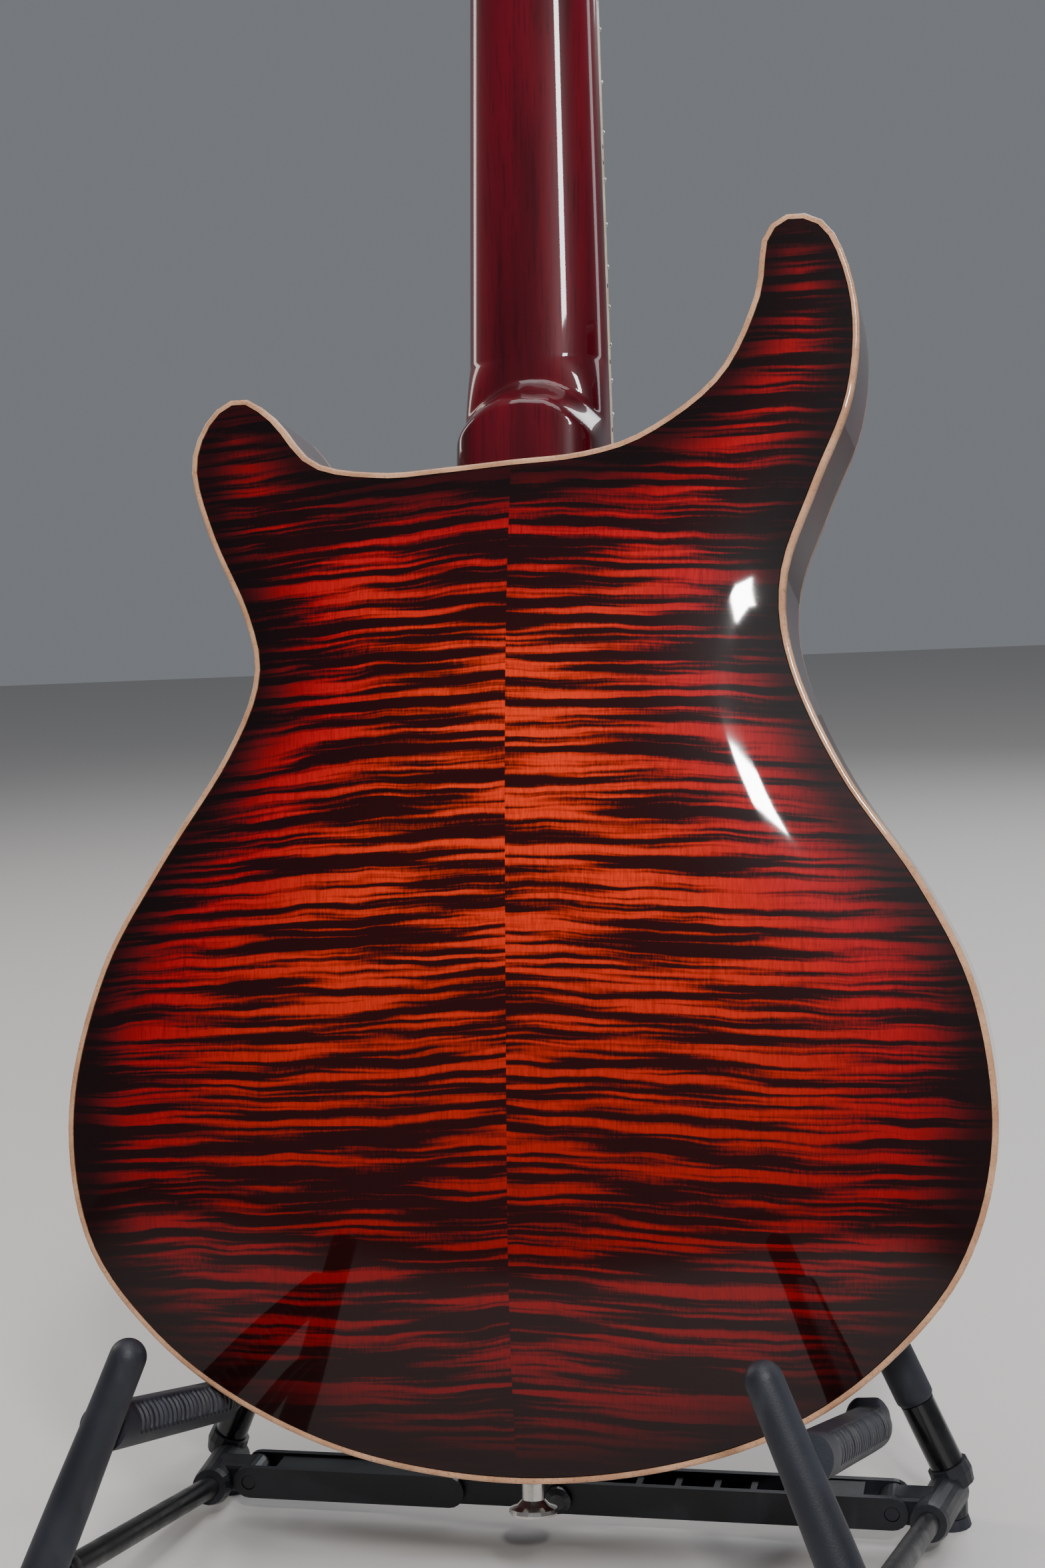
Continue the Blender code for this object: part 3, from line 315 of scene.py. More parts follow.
def inside(point, loop):
    """True when an (x, z) point lies inside a closed loop."""
    x, z = point
    hit = False
    for (x1, z1), (x2, z2) in zip(loop, np.roll(loop, -1, axis=0)):
        if (z1 > z) != (z2 > z) and x < x1 + (z - z1) * (x2 - x1) / (z2 - z1):
            hit = not hit
    return hit


def membrane(points, triangles, fixed):
    """Height of a soap film blown up over the triangles, 0 at the fixed points, 1 at most."""
    count = len(points)
    stiff = np.zeros((count, count))
    load = np.zeros(count)
    for triangle in triangles:
        corner = points[list(triangle)]
        for k in range(3):
            i, j, opposite = triangle[k], triangle[(k + 1) % 3], corner[(k + 2) % 3]
            a, b = points[i] - opposite, points[j] - opposite
            cross = abs(a[0] * b[1] - a[1] * b[0])
            weight = 0.5 * (a @ b) / max(cross, 1e-9)
            stiff[i, j] -= weight
            stiff[j, i] -= weight
            stiff[i, i] += weight
            stiff[j, j] += weight
            load[triangle[k]] += cross / 6
    free = [i for i in range(count) if i not in fixed]
    height = np.zeros(count)
    height[free] = np.linalg.solve(stiff[np.ix_(free, free)], load[free])
    return height / height.max()


def triangulate(outer, holes):
    """Triangles over an outline with holes: its points and faces."""
    coords = [tuple(p) for p in outer]
    edges = [(i, (i + 1) % len(outer)) for i in range(len(outer))]
    for hole in holes:
        start = len(coords)
        coords += [tuple(p) for p in hole]
        edges += [(start + i, start + (i + 1) % len(hole)) for i in range(len(hole))]
    low, high = outer.min(axis=0), outer.max(axis=0)
    loops = [outer] + list(holes)
    rows = np.arange(low[1] + GRID / 2, high[1], GRID * 0.866)
    for k, z in enumerate(rows):
        for x in np.arange(low[0] + GRID / 2 * (k % 2), high[0], GRID):
            near = min(np.min(np.hypot(*(loop - (x, z)).T)) for loop in loops)
            if near > 0.62 * GRID and inside((x, z), outer):
                if not any(inside((x, z), hole) for hole in holes):
                    coords.append((x, z))
    made = delaunay_2d_cdt([Vector(c) for c in coords], edges, [], 1, 1e-5)
    points = np.array([tuple(v) for v in made[0]])
    faces = []
    for face in made[2]:
        centre = points[list(face)].mean(axis=0)
        if not any(inside(centre, hole) for hole in holes):
            a, b, c = points[list(face)]
            turn = (b[0] - a[0]) * (c[1] - a[1]) - (b[1] - a[1]) * (c[0] - a[0])
            faces.append(tuple(face) if turn > 0 else tuple(face[::-1]))
    return points, faces


def carved_plate(outer, holes, front):
    """Arched plate: vertices and faces; front says which way it bulges."""
    points, faces = triangulate(outer, holes)
    count = len(points)
    rim = {i for i, p in enumerate(points) if np.min(np.hypot(*(outer - p).T)) < 0.01}
    film = membrane(points, faces, rim)
    rise = (ARCH_FRONT if front else ARCH_BACK) * film ** 1.25 * (2.2 - 1.2 * film)
    outside = RIM_DEPTH + rise if front else -rise
    within = outside - PLATE if front else outside + PLATE
    verts = [(x, y, z) for (x, z), y in zip(points, outside)]
    verts += [(x, y, z) for (x, z), y in zip(points, within)]
    solid = []
    seen = {}
    for face in faces:
        a, b, c = face if not front else face[::-1]
        solid.append((a, b, c))
        solid.append((c + count, b + count, a + count))
        for i, j in ((a, b), (b, c), (c, a)):
            seen[(i, j)] = seen.get((j, i)) is None
            if (j, i) in seen:
                seen[(j, i)] = False
    for (i, j), single in seen.items():
        if single:
            solid.append((j, i, i + count, j + count))
    return verts, solid


def f_hole(side):
    """Slot with round ends along a curve, as a counter-clockwise loop."""
    path = spline([(side * x, z) for x, z in F_HOLE], 15)
    along = np.gradient(path, axis=0)
    along /= np.linalg.norm(along, axis=1)[:, None]
    normal = np.column_stack([-along[:, 1], along[:, 0]])
    t = np.linspace(-1, 1, len(path))
    half = 2.6 + 3.2 * np.exp(-((abs(t) - 0.9) / 0.16) ** 2) + 0.9 * np.exp(-(t / 0.12) ** 2)
    half *= np.sqrt(np.clip(1.04 - t ** 8, 0.12, 1))
    loop = np.vstack([path - half[:, None] * normal, (path + half[:, None] * normal)[::-1]])
    area = np.sum(loop[:, 0] * np.roll(loop[:, 1], -1) - np.roll(loop[:, 0], -1) * loop[:, 1])
    return loop if area > 0 else loop[::-1]


def board_half_width(d):
    return (NUT_WIDTH + (WIDTH_22 - NUT_WIDTH) * d / FRET_22) / 2


def outward(verts, faces):
    """Turn the faces over when the solid's signed volume is negative."""
    total = 0.0
    for face in faces:
        a = Vector(verts[face[0]])
        for i in range(1, len(face) - 1):
            total += a.dot(Vector(verts[face[i]]).cross(Vector(verts[face[i + 1]])))
    return (verts, faces) if total > 0 else (verts, [tuple(face[::-1]) for face in faces])


def nearest_on_line(start, axis, other, other_axis):
    """Point of the line start + t axis that is nearest to another line."""
    between = start - other
    b = axis.dot(other_axis)
    d, e = axis.dot(between), other_axis.dot(between)
    return start + axis * ((b * e - d) / (1 - b * b))


def guitar_frames():
    """World matrix of the guitar, that of its neck, and the neck's frame in the guitar's."""
    lean = Matrix.Rotation(-math.radians(LEAN_DEG), 4, "X")
    guitar = Matrix.Translation(Vector(GUITAR_AT) * SCALE) @ lean
    angle = math.radians(NECK_ANGLE_DEG)
    joint_z = BRIDGE_Z + SCALE_LENGTH - FRET_22
    nut = Vector((0, BOARD_FACE_Y - FRET_22 * math.sin(angle), joint_z + FRET_22 * math.cos(angle)))
    axes = Matrix(((1, 0, 0), (0, -math.cos(angle), math.sin(angle)),
                   (0, -math.sin(angle), -math.cos(angle)))).to_4x4()
    return guitar, guitar @ Matrix.Translation(nut * SCALE) @ axes, Matrix.Translation(nut) @ axes


GUITAR, NECK, TO_GUITAR = guitar_frames()
TILT = Matrix.Rotation(math.radians(HEAD_TILT_DEG), 4, "X")
BACK_UP = Matrix.Rotation(-math.pi / 2, 4, "X")
OVER = Matrix.Rotation(math.pi, 4, "X")
WORLD = Matrix.Identity(4)


def added(name, data):
    """New object of the scene that holds some data."""
    thing = bpy.data.objects.new(name, data)
    bpy.context.scene.collection.objects.link(thing)
    return thing


def piece(name, solid, paint, nodes=(), at=GUITAR, smooth_deg=SHARP_DEG, bevel=0.0, body="guitar"):
    """One visible mesh in mm, placed by a world matrix, riding on a body."""
    verts, faces = outward(*solid)
    mesh = bpy.data.meshes.new(name)
    mesh.from_pydata([tuple(at @ (Vector(v) * SCALE)) for v in verts], [], faces)
    mesh.materials.append(PAINTS[paint])
    mesh.shade_smooth()
    mesh.set_sharp_from_angle(angle=math.radians(smooth_deg))
    thing = added(name, mesh)
    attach(thing, body)
    if nodes:
        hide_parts(*nodes)
    if bevel:
        ease(thing, bevel)
    return thing


def ease(thing, width, steps=2):
    """Round the edges of a piece with a bevel."""
    step = thing.modifiers.new("ease", "BEVEL")
    step.width = width * SCALE
    step.segments = steps
    step.limit_method = "ANGLE"
    step.angle_limit = math.radians(EASE_DEG)
    step.harden_normals = True


def joined(solids):
    """Several solids as the vertices and faces of one mesh."""
    verts, faces = [], []
    for some_verts, some_faces in solids:
        start = len(verts)
        some_verts, some_faces = outward([tuple(v) for v in some_verts], some_faces)
        verts += some_verts
        faces += [tuple(i + start for i in face) for face in some_faces]
    return verts, faces


def moved(solid, matrix):
    """A solid with its vertices put through a matrix in mm."""
    return [tuple(matrix @ Vector(v)) for v in solid[0]], solid[1]


def shift(x, y, z):
    return Matrix.Translation((x, y, z))


def dress(node, paint, bevel=0.0, steps=2):
    """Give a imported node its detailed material, and ease its edges."""
    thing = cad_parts[node]
    thing.data.materials.clear()
    thing.data.materials.append(PAINTS[paint])
    thing.data.shade_smooth()
    thing.data.set_sharp_from_angle(angle=math.radians(SHARP_DEG))
    if bevel:
        ease(thing, bevel, steps)


def screw(radius, height):
    """Round screw head standing along Z, with a recess in its middle."""
    profile = [(0, 0), (1, 0), (1, 0.45), (0.82, 0.85), (0.5, 1), (0.34, 1), (0.3, 0.5), (0, 0.4)]
    return lathe([(radius * r, height * h) for r, h in profile], 20, "Z")


PAINTS = {}


class Paint:
    """One node material, built from a Principled shader and a few procedural layers."""

    def __init__(self, name, rough, metal=0.0, **sockets):
        self.made = PAINTS[name] = bpy.data.materials.new(name)
        self.made.use_nodes = True
        self.tree = self.made.node_tree
        self.shader = self.tree.nodes["Principled BSDF"]
        self.shader.inputs["Roughness"].default_value = rough
        self.shader.inputs["Metallic"].default_value = metal
        for socket, value in sockets.items():
            self.shader.inputs[socket.replace("_", " ")].default_value = value
        self.place = self.node("ShaderNodeTexCoord").outputs["Object"]

    def along_guitar(self):
        """Measure texture space in the guitar's leaning frame instead of the world's."""
        back = GUITAR.inverted()
        self.place = self.node("ShaderNodeMapping", {
            "Vector": self.place, "Location": back.translation, "Rotation": back.to_euler()}).outputs[0]

    def node(self, kind, sockets=(), **settings):
        """Add a node with its settings and what its input sockets hold or are fed."""
        made = self.tree.nodes.new(kind)
        for key, value in settings.items():
            setattr(made, key, value)
        for socket, value in dict(sockets).items():
            self.feed(made.inputs[socket], value)
        return made

    def feed(self, socket, value):
        if isinstance(value, bpy.types.NodeSocket):
            self.tree.links.new(value, socket)
        else:
            socket.default_value = value

    def math(self, operation, a, b=0.0, c=0.0):
        return self.node("ShaderNodeMath", enumerate((a, b, c)), operation=operation).outputs[0]

    def scaled(self, a, factor, more):
        return self.math("MULTIPLY_ADD", a, factor, more)

    def stretch(self, factors, source=None, offset=(0, 0, 0)):
        """Texture space scaled along each axis, in repeats per metre."""
        return self.node("ShaderNodeMapping", {
            "Vector": source or self.place, "Scale": factors, "Location": offset}).outputs[0]

    def noise(self, factors, detail=3.0, source=None, offset=(0, 0, 0), rough=0.5):
        return self.node("ShaderNodeTexNoise", {
            "Vector": self.stretch(factors, source, offset), "Scale": 1.0, "Detail": detail,
            "Roughness": rough}).outputs["Fac"]

    def spread(self, value, low, high, to_low=0.0, to_high=1.0, smooth=True):
        return self.node("ShaderNodeMapRange", enumerate((value, low, high, to_low, to_high)),
                         interpolation_type="SMOOTHSTEP" if smooth else "LINEAR").outputs[0]

    def mix(self, amount, a, b):
        made = self.node("ShaderNodeMix", data_type="RGBA")
        self.feed(made.inputs["Factor"], amount)
        for socket, value in ((made.inputs[6], a), (made.inputs[7], b)):
            self.feed(socket, (*value, 1.0) if isinstance(value, tuple) else value)
        return made.outputs[2]

    def colour(self, value):
        self.feed(self.shader.inputs["Base Color"], value)

    def rough(self, value):
        self.feed(self.shader.inputs["Roughness"], value)

    def bump(self, height, strength, distance_mm, onto="Normal"):
        made = self.node("ShaderNodeBump", {
            "Strength": strength, "Distance": distance_mm * SCALE, "Height": height})
        self.feed(self.shader.inputs[onto], made.outputs[0])


def flamed_maple(name, seed, centre=((0.020, 0.0006, 0.0008), (0.74, 0.036, 0.0045))):
    """Bookmatched flamed maple under a red to black burst."""
    paint = Paint(name, 0.38, Specular_IOR_Level=0.05, Coat_Weight=1.0, Coat_Roughness=0.03, Coat_IOR=1.33)
    paint.along_guitar()
    parts = paint.node("ShaderNodeSeparateXYZ", {0: paint.place})
    x, z = parts.outputs[0], parts.outputs[2]
    aside = paint.math("ABSOLUTE", x)
    half = paint.math("GREATER_THAN", x, 0.0)
    slope = paint.spread(half, 0.0, 1.0, 0.05, 0.04, smooth=False)
    wander = paint.noise((9, 1, 12), 2.0, offset=(seed, 0, 0))
    ripple = paint.noise((42, 1, 60), 2.0, offset=(0, seed, 0))
    level = paint.scaled(aside, slope, z)
    level = paint.scaled(wander, 0.010, level)
    level = paint.scaled(ripple, 0.0034, level)
    level = paint.scaled(half, 0.0024, level)
    spot = paint.node("ShaderNodeCombineXYZ", {0: aside, 2: level})
    bands_wide = paint.noise((11, 1, 290), 1.0, spot.outputs[0], (seed, 0, 2), 0.45)
    bands_thin = paint.noise((26, 1, 620), 1.0, spot.outputs[0], (3, 0, seed), 0.5)
    patch = paint.noise((13, 1, 9), 1.0, offset=(4, 0, seed))
    fibre = paint.noise((1400, 1, 260), 1.0, spot.outputs[0], rough=0.7)
    flame = paint.scaled(bands_thin, 0.55, bands_wide)
    flame = paint.scaled(patch, 0.30, flame)
    flame = paint.scaled(fibre, 0.12, flame)
    flame = paint.spread(flame, 0.92, 1.13)
    grain = paint.noise((1500, 1, 130), 2.0, rough=0.7)
    pores = paint.spread(paint.noise((520, 1, 26), 2.0), 0.55, 0.75)
    edge = paint.node("ShaderNodeAttribute", attribute_name="edge_mm").outputs["Fac"]
    uneven = paint.scaled(paint.noise((14, 1, 14), 2.0), 16.0, edge)
    ring = paint.spread(uneven, 12.0, 42.0)
    heart = paint.spread(uneven, 36.0, 98.0)
    # Painted shade: towards the bottom of the body the burst's light centre is pulled down to a deeper,
    # darker red (0.42, 0.0025, 0.006)
    heart_painted_shade_low = paint.math("MULTIPLY", heart, paint.spread(z, 0.06, 0.25, 0.12, 1.0))
    dark = paint.mix(heart, (0.010, 0.0004, 0.001), centre[0])
    light = paint.mix(heart_painted_shade_low, (0.42, 0.0025, 0.006), centre[1])
    wood = paint.mix(flame, dark, light)
    wood = paint.mix(paint.spread(grain, 0.3, 0.75, 0.0, 0.34), wood, (0.02, 0.001, 0.002))
    wood = paint.mix(paint.math("MULTIPLY", pores, 0.28), wood, (0.012, 0.001, 0.001))
    faint = paint.mix(flame, (0.004, 0.0008, 0.0012), (0.022, 0.001, 0.002))
    wood = paint.mix(ring, faint, wood)
    # Painted shade: the whole plate is darkened towards its bottom edge, up to 62 % of the way to (0.012,
    # 0.002, 0.002)
    shade = paint.spread(z, 0.0, 0.24, 0.62, 0.0)
    paint.colour(paint.mix(shade, wood, (0.012, 0.002, 0.002)))
    settle = paint.noise((24, 24, 24), 2.0)
    paint.bump(settle, 0.12, 0.35, "Coat Normal")
    paint.bump(flame, 0.05, 0.1)


def lacquered(name, low, high, along, seed=0.0, coat=1.0):
    """Lacquered wood with its grain drawn out along one axis."""
    paint = Paint(name, 0.36, Specular_IOR_Level=0.08, Coat_Weight=coat, Coat_Roughness=0.03, Coat_IOR=1.38)
    paint.along_guitar()
    broad = paint.noise(tuple(60 if k != along else 5 for k in range(3)), 3.0, offset=(seed, 0, 0))
    fine = paint.noise(tuple(900 if k != along else 32 for k in range(3)), 2.0, rough=0.7)
    colour = paint.mix(paint.spread(broad, 0.35, 0.65), low, high)
    colour = paint.mix(paint.spread(fine, 0.5, 0.72, 0.0, 0.5), colour, tuple(0.3 * c for c in low))
    paint.colour(colour)
    paint.bump(paint.noise((30, 30, 30), 2.0), 0.1, 0.3, "Coat Normal")


def bare(name, low, high, rough, metal=0.0, size=70.0, fine=900.0, bump=0.12, wear=None, **sockets):
    """Plain material with mottling, a fine skin and uneven gloss."""
    paint = Paint(name, rough, metal, **sockets)
    broad = paint.noise((size, size, size), 4.0)
    skin_noise = paint.noise((fine, fine, fine), 3.0, rough=0.65)
    colour = paint.mix(paint.spread(broad, 0.35, 0.68), low, high)
    if wear:
        dust = paint.noise((size * 3, size * 3, size), 5.0, offset=(7, 2, 1))
        colour = paint.mix(paint.spread(dust, 0.56, 0.78, 0.0, 0.5), colour, wear)
    paint.colour(colour)
    paint.rough(paint.spread(paint.scaled(skin_noise, 0.5, broad), 0.45, 1.0,
                             max(rough - 0.07, 0.02), min(rough + 0.12, 1.0)))
    if bump:
        paint.bump(skin_noise, bump, 0.25)


def wound(name, low, high, pitch_mm, rough):
    """Wire with turns laid across its length, with painted shade in the grooves between the turns."""
    paint = Paint(name, rough, 1.0)
    turns = paint.node("ShaderNodeTexWave", {
        "Vector": paint.place, "Scale": 0.314 / (pitch_mm * SCALE), "Distortion": 0.3}, bands_direction="Z")
    # Painted shade: the colour goes dark in the grooves between the turns and bright on their crowns
    paint.colour(paint.mix(turns.outputs["Fac"], low, high))
    paint.bump(turns.outputs["Fac"], 0.5, 0.15)


# Every paint goes into PAINTS under its name
flamed_maple("back_maple", 3.7)
flamed_maple("top_maple", 11.3, ((0.09, 0.006, 0.004), (0.66, 0.10, 0.02)))
lacquered("side_wood", (0.032, 0.001, 0.0022), (0.075, 0.0022, 0.0045), 0, 2.0)
lacquered("neck_wood", (0.042, 0.0005, 0.0036), (0.098, 0.001, 0.0065), 2)
lacquered("edge_maple", (0.42, 0.21, 0.115), (0.56, 0.31, 0.18), 1, 5.0, 0.8)
bare("cream", (0.62, 0.50, 0.34), (0.74, 0.63, 0.46), 0.28, size=120, bump=0.03)
lacquered("ebony", (0.012, 0.008, 0.006), (0.03, 0.02, 0.015), 2, 8.0, 0.15)
bare("bone", (0.66, 0.60, 0.47), (0.78, 0.73, 0.60), 0.35, size=300, bump=0.04)
bare("pearl", (0.55, 0.57, 0.55), (0.80, 0.76, 0.74), 0.18, size=420, bump=0.02)
bare("nickel", (0.56, 0.53, 0.49), (0.70, 0.68, 0.65), 0.16, 1.0, 55, 1400, 0.03)
bare("fret_wire", (0.50, 0.49, 0.46), (0.66, 0.65, 0.62), 0.24, 1.0, 200, 2200, 0.05)
wound("wound_wire", (0.28, 0.26, 0.23), (0.66, 0.62, 0.57), 0.42, 0.28)
bare("plain_wire", (0.5, 0.5, 0.49), (0.68, 0.68, 0.67), 0.2, 1.0, 300, 2500, 0.02)
bare("ring_plastic", (0.012, 0.012, 0.013), (0.02, 0.02, 0.022), 0.3, bump=0.05)
bare("amber", (0.34, 0.15, 0.03), (0.50, 0.24, 0.055), 0.16, size=160, bump=0.02,
     Coat_Weight=0.6, Coat_Roughness=0.05)
bare("rubber", (0.008, 0.009, 0.014), (0.016, 0.018, 0.027), 0.5, size=38, fine=1600,
     bump=0.35, wear=(0.036, 0.039, 0.05), Specular_IOR_Level=0.4)
bare("gloss_tube", (0.004, 0.004, 0.0045), (0.007, 0.007, 0.008), 0.2, size=60,
     fine=500, bump=0.04, wear=(0.014, 0.014, 0.016), Specular_IOR_Level=0.35,
     Coat_Weight=0.35, Coat_Roughness=0.06)
bare("satin", (0.007, 0.0075, 0.010), (0.013, 0.014, 0.018), 0.4, size=48, fine=2100,
     bump=0.3, wear=(0.028, 0.03, 0.035), Specular_IOR_Level=0.4)
bare("steel", (0.05, 0.05, 0.053), (0.09, 0.09, 0.094), 0.36, 1.0, 150, 1600, 0.08)
bare("rod_black", (0.004, 0.004, 0.0045), (0.008, 0.008, 0.009), 0.34, size=70,
     fine=700, bump=0.08, wear=(0.014, 0.014, 0.016), Specular_IOR_Level=0.22)
bare("felt", (0.02, 0.018, 0.018), (0.05, 0.045, 0.045), 0.95, size=900, fine=3000, bump=0.8)
bare("dot_black", (0.006, 0.006, 0.006), (0.012, 0.012, 0.012), 0.3, size=400, bump=0.02)


def edge_marks(thing, outline, flat):
    """Store each vertex's distance to the body's outline, in mm, for the burst."""
    ring = spline(outline, EDGE_STEPS, closed=True)
    marks = thing.data.attributes.new("edge_mm", "FLOAT", "POINT")
    values = [float(np.min(np.hypot(*(ring - p).T))) for p in flat]
    marks.data.foreach_set("value", values)


def make_plates():
    """Carved back and top as fine skins, and the bindings and sides between them."""
    outline = inset(spline(OUTLINE, FINE_OUTLINE, closed=True), OUTLINE_TRIM)
    edge = inset(outline, BIND_WIDTH + GAP)
    for name, front in (("back_plate", False), ("top_plate", True)):
        holes = []
        if front:
            holes = [f_hole(1), f_hole(-1)]
            for z in (NECK_PICKUP_Z, BRIDGE_PICKUP_Z):
                holes.append(rounded_rect((0, z), (PICKUP_SIZE[0] + 2, PICKUP_SIZE[1] + 2), 3, 3))
            holes += [circle(at, 5.2, 20) for at in list(KNOBS.values()) + [SWITCH_AT]]
        solid = carved_plate(edge, holes, front)
        paint = "top_maple" if front else "back_maple"
        thing = piece(f"{name}_carved", solid, paint, [name], GUITAR, 40)
        edge_marks(thing, OUTLINE, np.array([(v[0], v[2]) for v in solid[0]]))
    ease_in = [(0, 1.1), (0.12, 0.6), (0.4, 0.25), (0.9, 0.04), (1.5, 0.0), (BIND_WIDTH, 0.0),
               (BIND_WIDTH, BIND_DEPTH), (0, BIND_DEPTH)]
    for name, depth in (("back_binding", lambda y: y), ("top_binding", lambda y: RIM_DEPTH - y)):
        loops = [at_depth(inset(outline, w), depth(y)) for w, y in ease_in]
        piece(f"{name}_strip", bands(loops), "edge_maple", [name], GUITAR, 50)
    near, far = BIND_DEPTH + GAP * 0.2, RIM_DEPTH - BIND_DEPTH - GAP * 0.2
    inner = inset(outline, RIM_WALL)
    loops = [at_depth(outline, near), at_depth(outline, far), at_depth(inner, far), at_depth(inner, near)]
    piece("rim_sides", bands(loops), "side_wood", ["rim"], GUITAR, 40)
    return outline


def board_surface(x):
    """Depth of the cambered fretboard at a distance from its middle."""
    return BOARD_RADIUS - math.sqrt(BOARD_RADIUS ** 2 - x * x)


def mirrored(side):
    """Closed loop from one half of it."""
    return np.vstack([side, side[-2::-1] * (-1, 1)])


def head_rings(loop, levels):
    """A loop of the tilted head, lifted to heights from its face, highest first."""
    return [[TILT @ Vector((x, HEAD_FACE + y, -s)) for x, s in loop] for y in levels][::-1]


def make_neck(outline):
    """Neck with its heel, head with its face, and the truss rod cover."""
    joint = sorted([tuple(p) for p in outline if abs(p[0]) < 45 and p[1] > 300])
    joint = np.array(joint)
    nut_z = BRIDGE_Z + SCALE_LENGTH - FRET_22 + FRET_22 * math.cos(math.radians(NECK_ANGLE_DEG))
    slope = math.tan(math.radians(NECK_ANGLE_DEG))
    sides = 46

    def depth(x, d, half):
        shaft = 20.6 + 3.4 * d / 400
        cap = BOARD_FACE_Y + (d - FRET_22) * slope - HEEL_FACE_Y
        onset = HEEL_START + HEEL_ROUND * (x / half) ** 2
        s = min(max((d - onset) / HEEL_RUN, 0), 1)
        return shaft + (cap - shaft) * s * s * (3 - 2 * s)

    def section(d, last=False):
        half = board_half_width(d)
        top = BOARD_DEPTH + 0.05
        ring = [(half, top, d), (-half, top, d)]
        blend = min(max((d - HEEL_START + 8) / 26, 0), 1)
        power = 2.25 + 3.0 * blend
        for i in range(1, sides):
            turn = math.pi * (1 - i / sides)
            x = half * math.copysign(abs(math.cos(turn)) ** (2 / power), math.cos(turn))
            y = top + (depth(x, d, half) - top) * math.sin(turn) ** (2 / power)
            ring.append((x, y, d))
        if last:
            ring = [(x, y, nut_z - np.interp(x, joint[:, 0], joint[:, 1]) - 0.1 - y * slope)
                    for x, y, _ in ring]
        return ring

    stops = [-9.0] + list(np.linspace(10, 385, 26)) + list(np.linspace(389, 434, 46))
    shaft = skin([section(d) for d in stops] + [section(437.0, last=True)])
    piece("neck_shaft", shaft, "neck_wood", ["neck"], NECK, 60)
    loop = mirrored(spline(HEAD_OUTLINE, 44))
    levels = [(0.0, 0.0), (0.0, HEAD_DEPTH - 1.6), (0.5, HEAD_DEPTH - 0.5), (1.6, HEAD_DEPTH)]
    centre = loop.mean(axis=0)
    rings = []
    for pull, level in levels:
        out = loop - centre
        moved_in = loop - out * pull / np.maximum(np.linalg.norm(out, axis=1)[:, None], 1)
        rings.append([TILT @ Vector((x, HEAD_FACE + level, -s)) for x, s in moved_in])
    piece("headstock", skin(rings[::-1]), "neck_wood", at=NECK, smooth_deg=40)
    inner = [(x * 0.985, centre[1] + (s - centre[1]) * 0.985) for x, s in loop]
    piece("head_face", skin(head_rings(inner, (-0.7, 0.1))), "ring_plastic", at=NECK, bevel=0.3)
    cover = [(5.5, 12), (7.5, 18), (7.0, 30), (4.0, 38), (0, 41)]
    rings = head_rings(mirrored(spline(cover, 12)), (-2.4, -0.7))
    piece("truss_rod_cover", skin(rings), "ring_plastic", at=NECK, bevel=0.4)
    heads = []
    for x, s in ((0, 15), (0, 37.5)):
        turned = TILT @ shift(x, HEAD_FACE - 2.4, -s) @ Matrix.Rotation(math.pi / 2, 4, "X")
        heads.append(moved(screw(1.7, 0.9), turned))
    piece("truss_cover_screws", joined(heads), "nickel", at=NECK)


def fret_at(number):
    return SCALE_LENGTH * (1 - 2 ** (-number / OCTAVE))


def make_fretboard():
    """Frets, inlays and side dots on the board, whose own solids get their wood and binding."""
    for node, paint in (("fretboard", "ebony"), ("fretboard_binding", "cream"), ("nut", "bone")):
        dress(node, paint, 0.35)
    wires = []
    for number in range(1, FRETS + 1):
        d = fret_at(number)
        half = board_half_width(d) - 0.5
        path = [Vector((x, board_surface(x) - 0.15, d)) for x in np.linspace(-half, half, 17)]
        wires.append(sweep(path, 1.2, 10, squash=0.85, domed=True))
    piece("frets", joined(wires), "fret_wire", at=NECK)
    inlays, side_dots = [], []
    for number in MARKED_FRETS:
        d = (fret_at(number) + fret_at(number - 1)) / 2
        for x in ((-9.0, 9.0) if number == OCTAVE else (0.0,)):
            disc = lathe([(0, 0), (3.0, 0), (3.1, 0.2), (3.1, 1.0), (0, 1.0)], 28)
            inlays.append(moved(disc, shift(x, board_surface(x) - 0.12, d)))
        for along in ((-3.15, 3.15) if number == OCTAVE else (0.0,)):
            disc = lathe([(0, -0.5), (0.95, -0.5), (0.95, 0.06), (0, 0.09)], 16, "X")
            side_dots.append(moved(disc, shift(board_half_width(d + along), 3.0, d + along)))
    piece("fret_inlays", joined(inlays), "pearl", at=NECK)
    piece("side_dots", joined(side_dots), "dot_black", at=NECK)


def make_tuners():
    """Cases, keys, bushings on the face and mounting screws of the six machines."""
    bushes, screws = [], []
    number = 0
    for side_way in (1, -1):
        for row in TUNER_ROWS if side_way > 0 else TUNER_ROWS[::-1]:
            number += 1
            dress(f"tuner_{number}", "nickel", 0.5)
            dress(f"tuner_key_{number}", "nickel", 0.35)
            ring = [(3.4, 0.0), (7.0, 0.0), (7.0, 1.2), (6.0, 2.2), (3.6, 2.2)]
            at = TILT @ shift(side_way * TUNER_X, HEAD_FACE - 0.7, -row) @ OVER
            bushes.append(moved(turned_ring(ring, 30), at))
            for z in (-7.6, 7.6):
                at = TILT @ shift(side_way * (TUNER_X - 9.3), HEAD_FACE + HEAD_DEPTH, -row + z * 0.6)
                screws.append(moved(screw(1.6, 0.9), at @ BACK_UP))
    piece("tuner_bushings", joined(bushes), "nickel", at=NECK)
    piece("tuner_screws", joined(screws), "nickel", at=NECK)


def turned_ring(profile, sides, upright=False):
    """Closed ring turned about Y, or about Z when it is upright."""
    loops = []
    for radius, height in profile:
        ring = circle((0, 0), radius, sides)
        loops.append([(x, y, height) if upright else (x, height, y) for x, y in ring])
    return bands(loops)


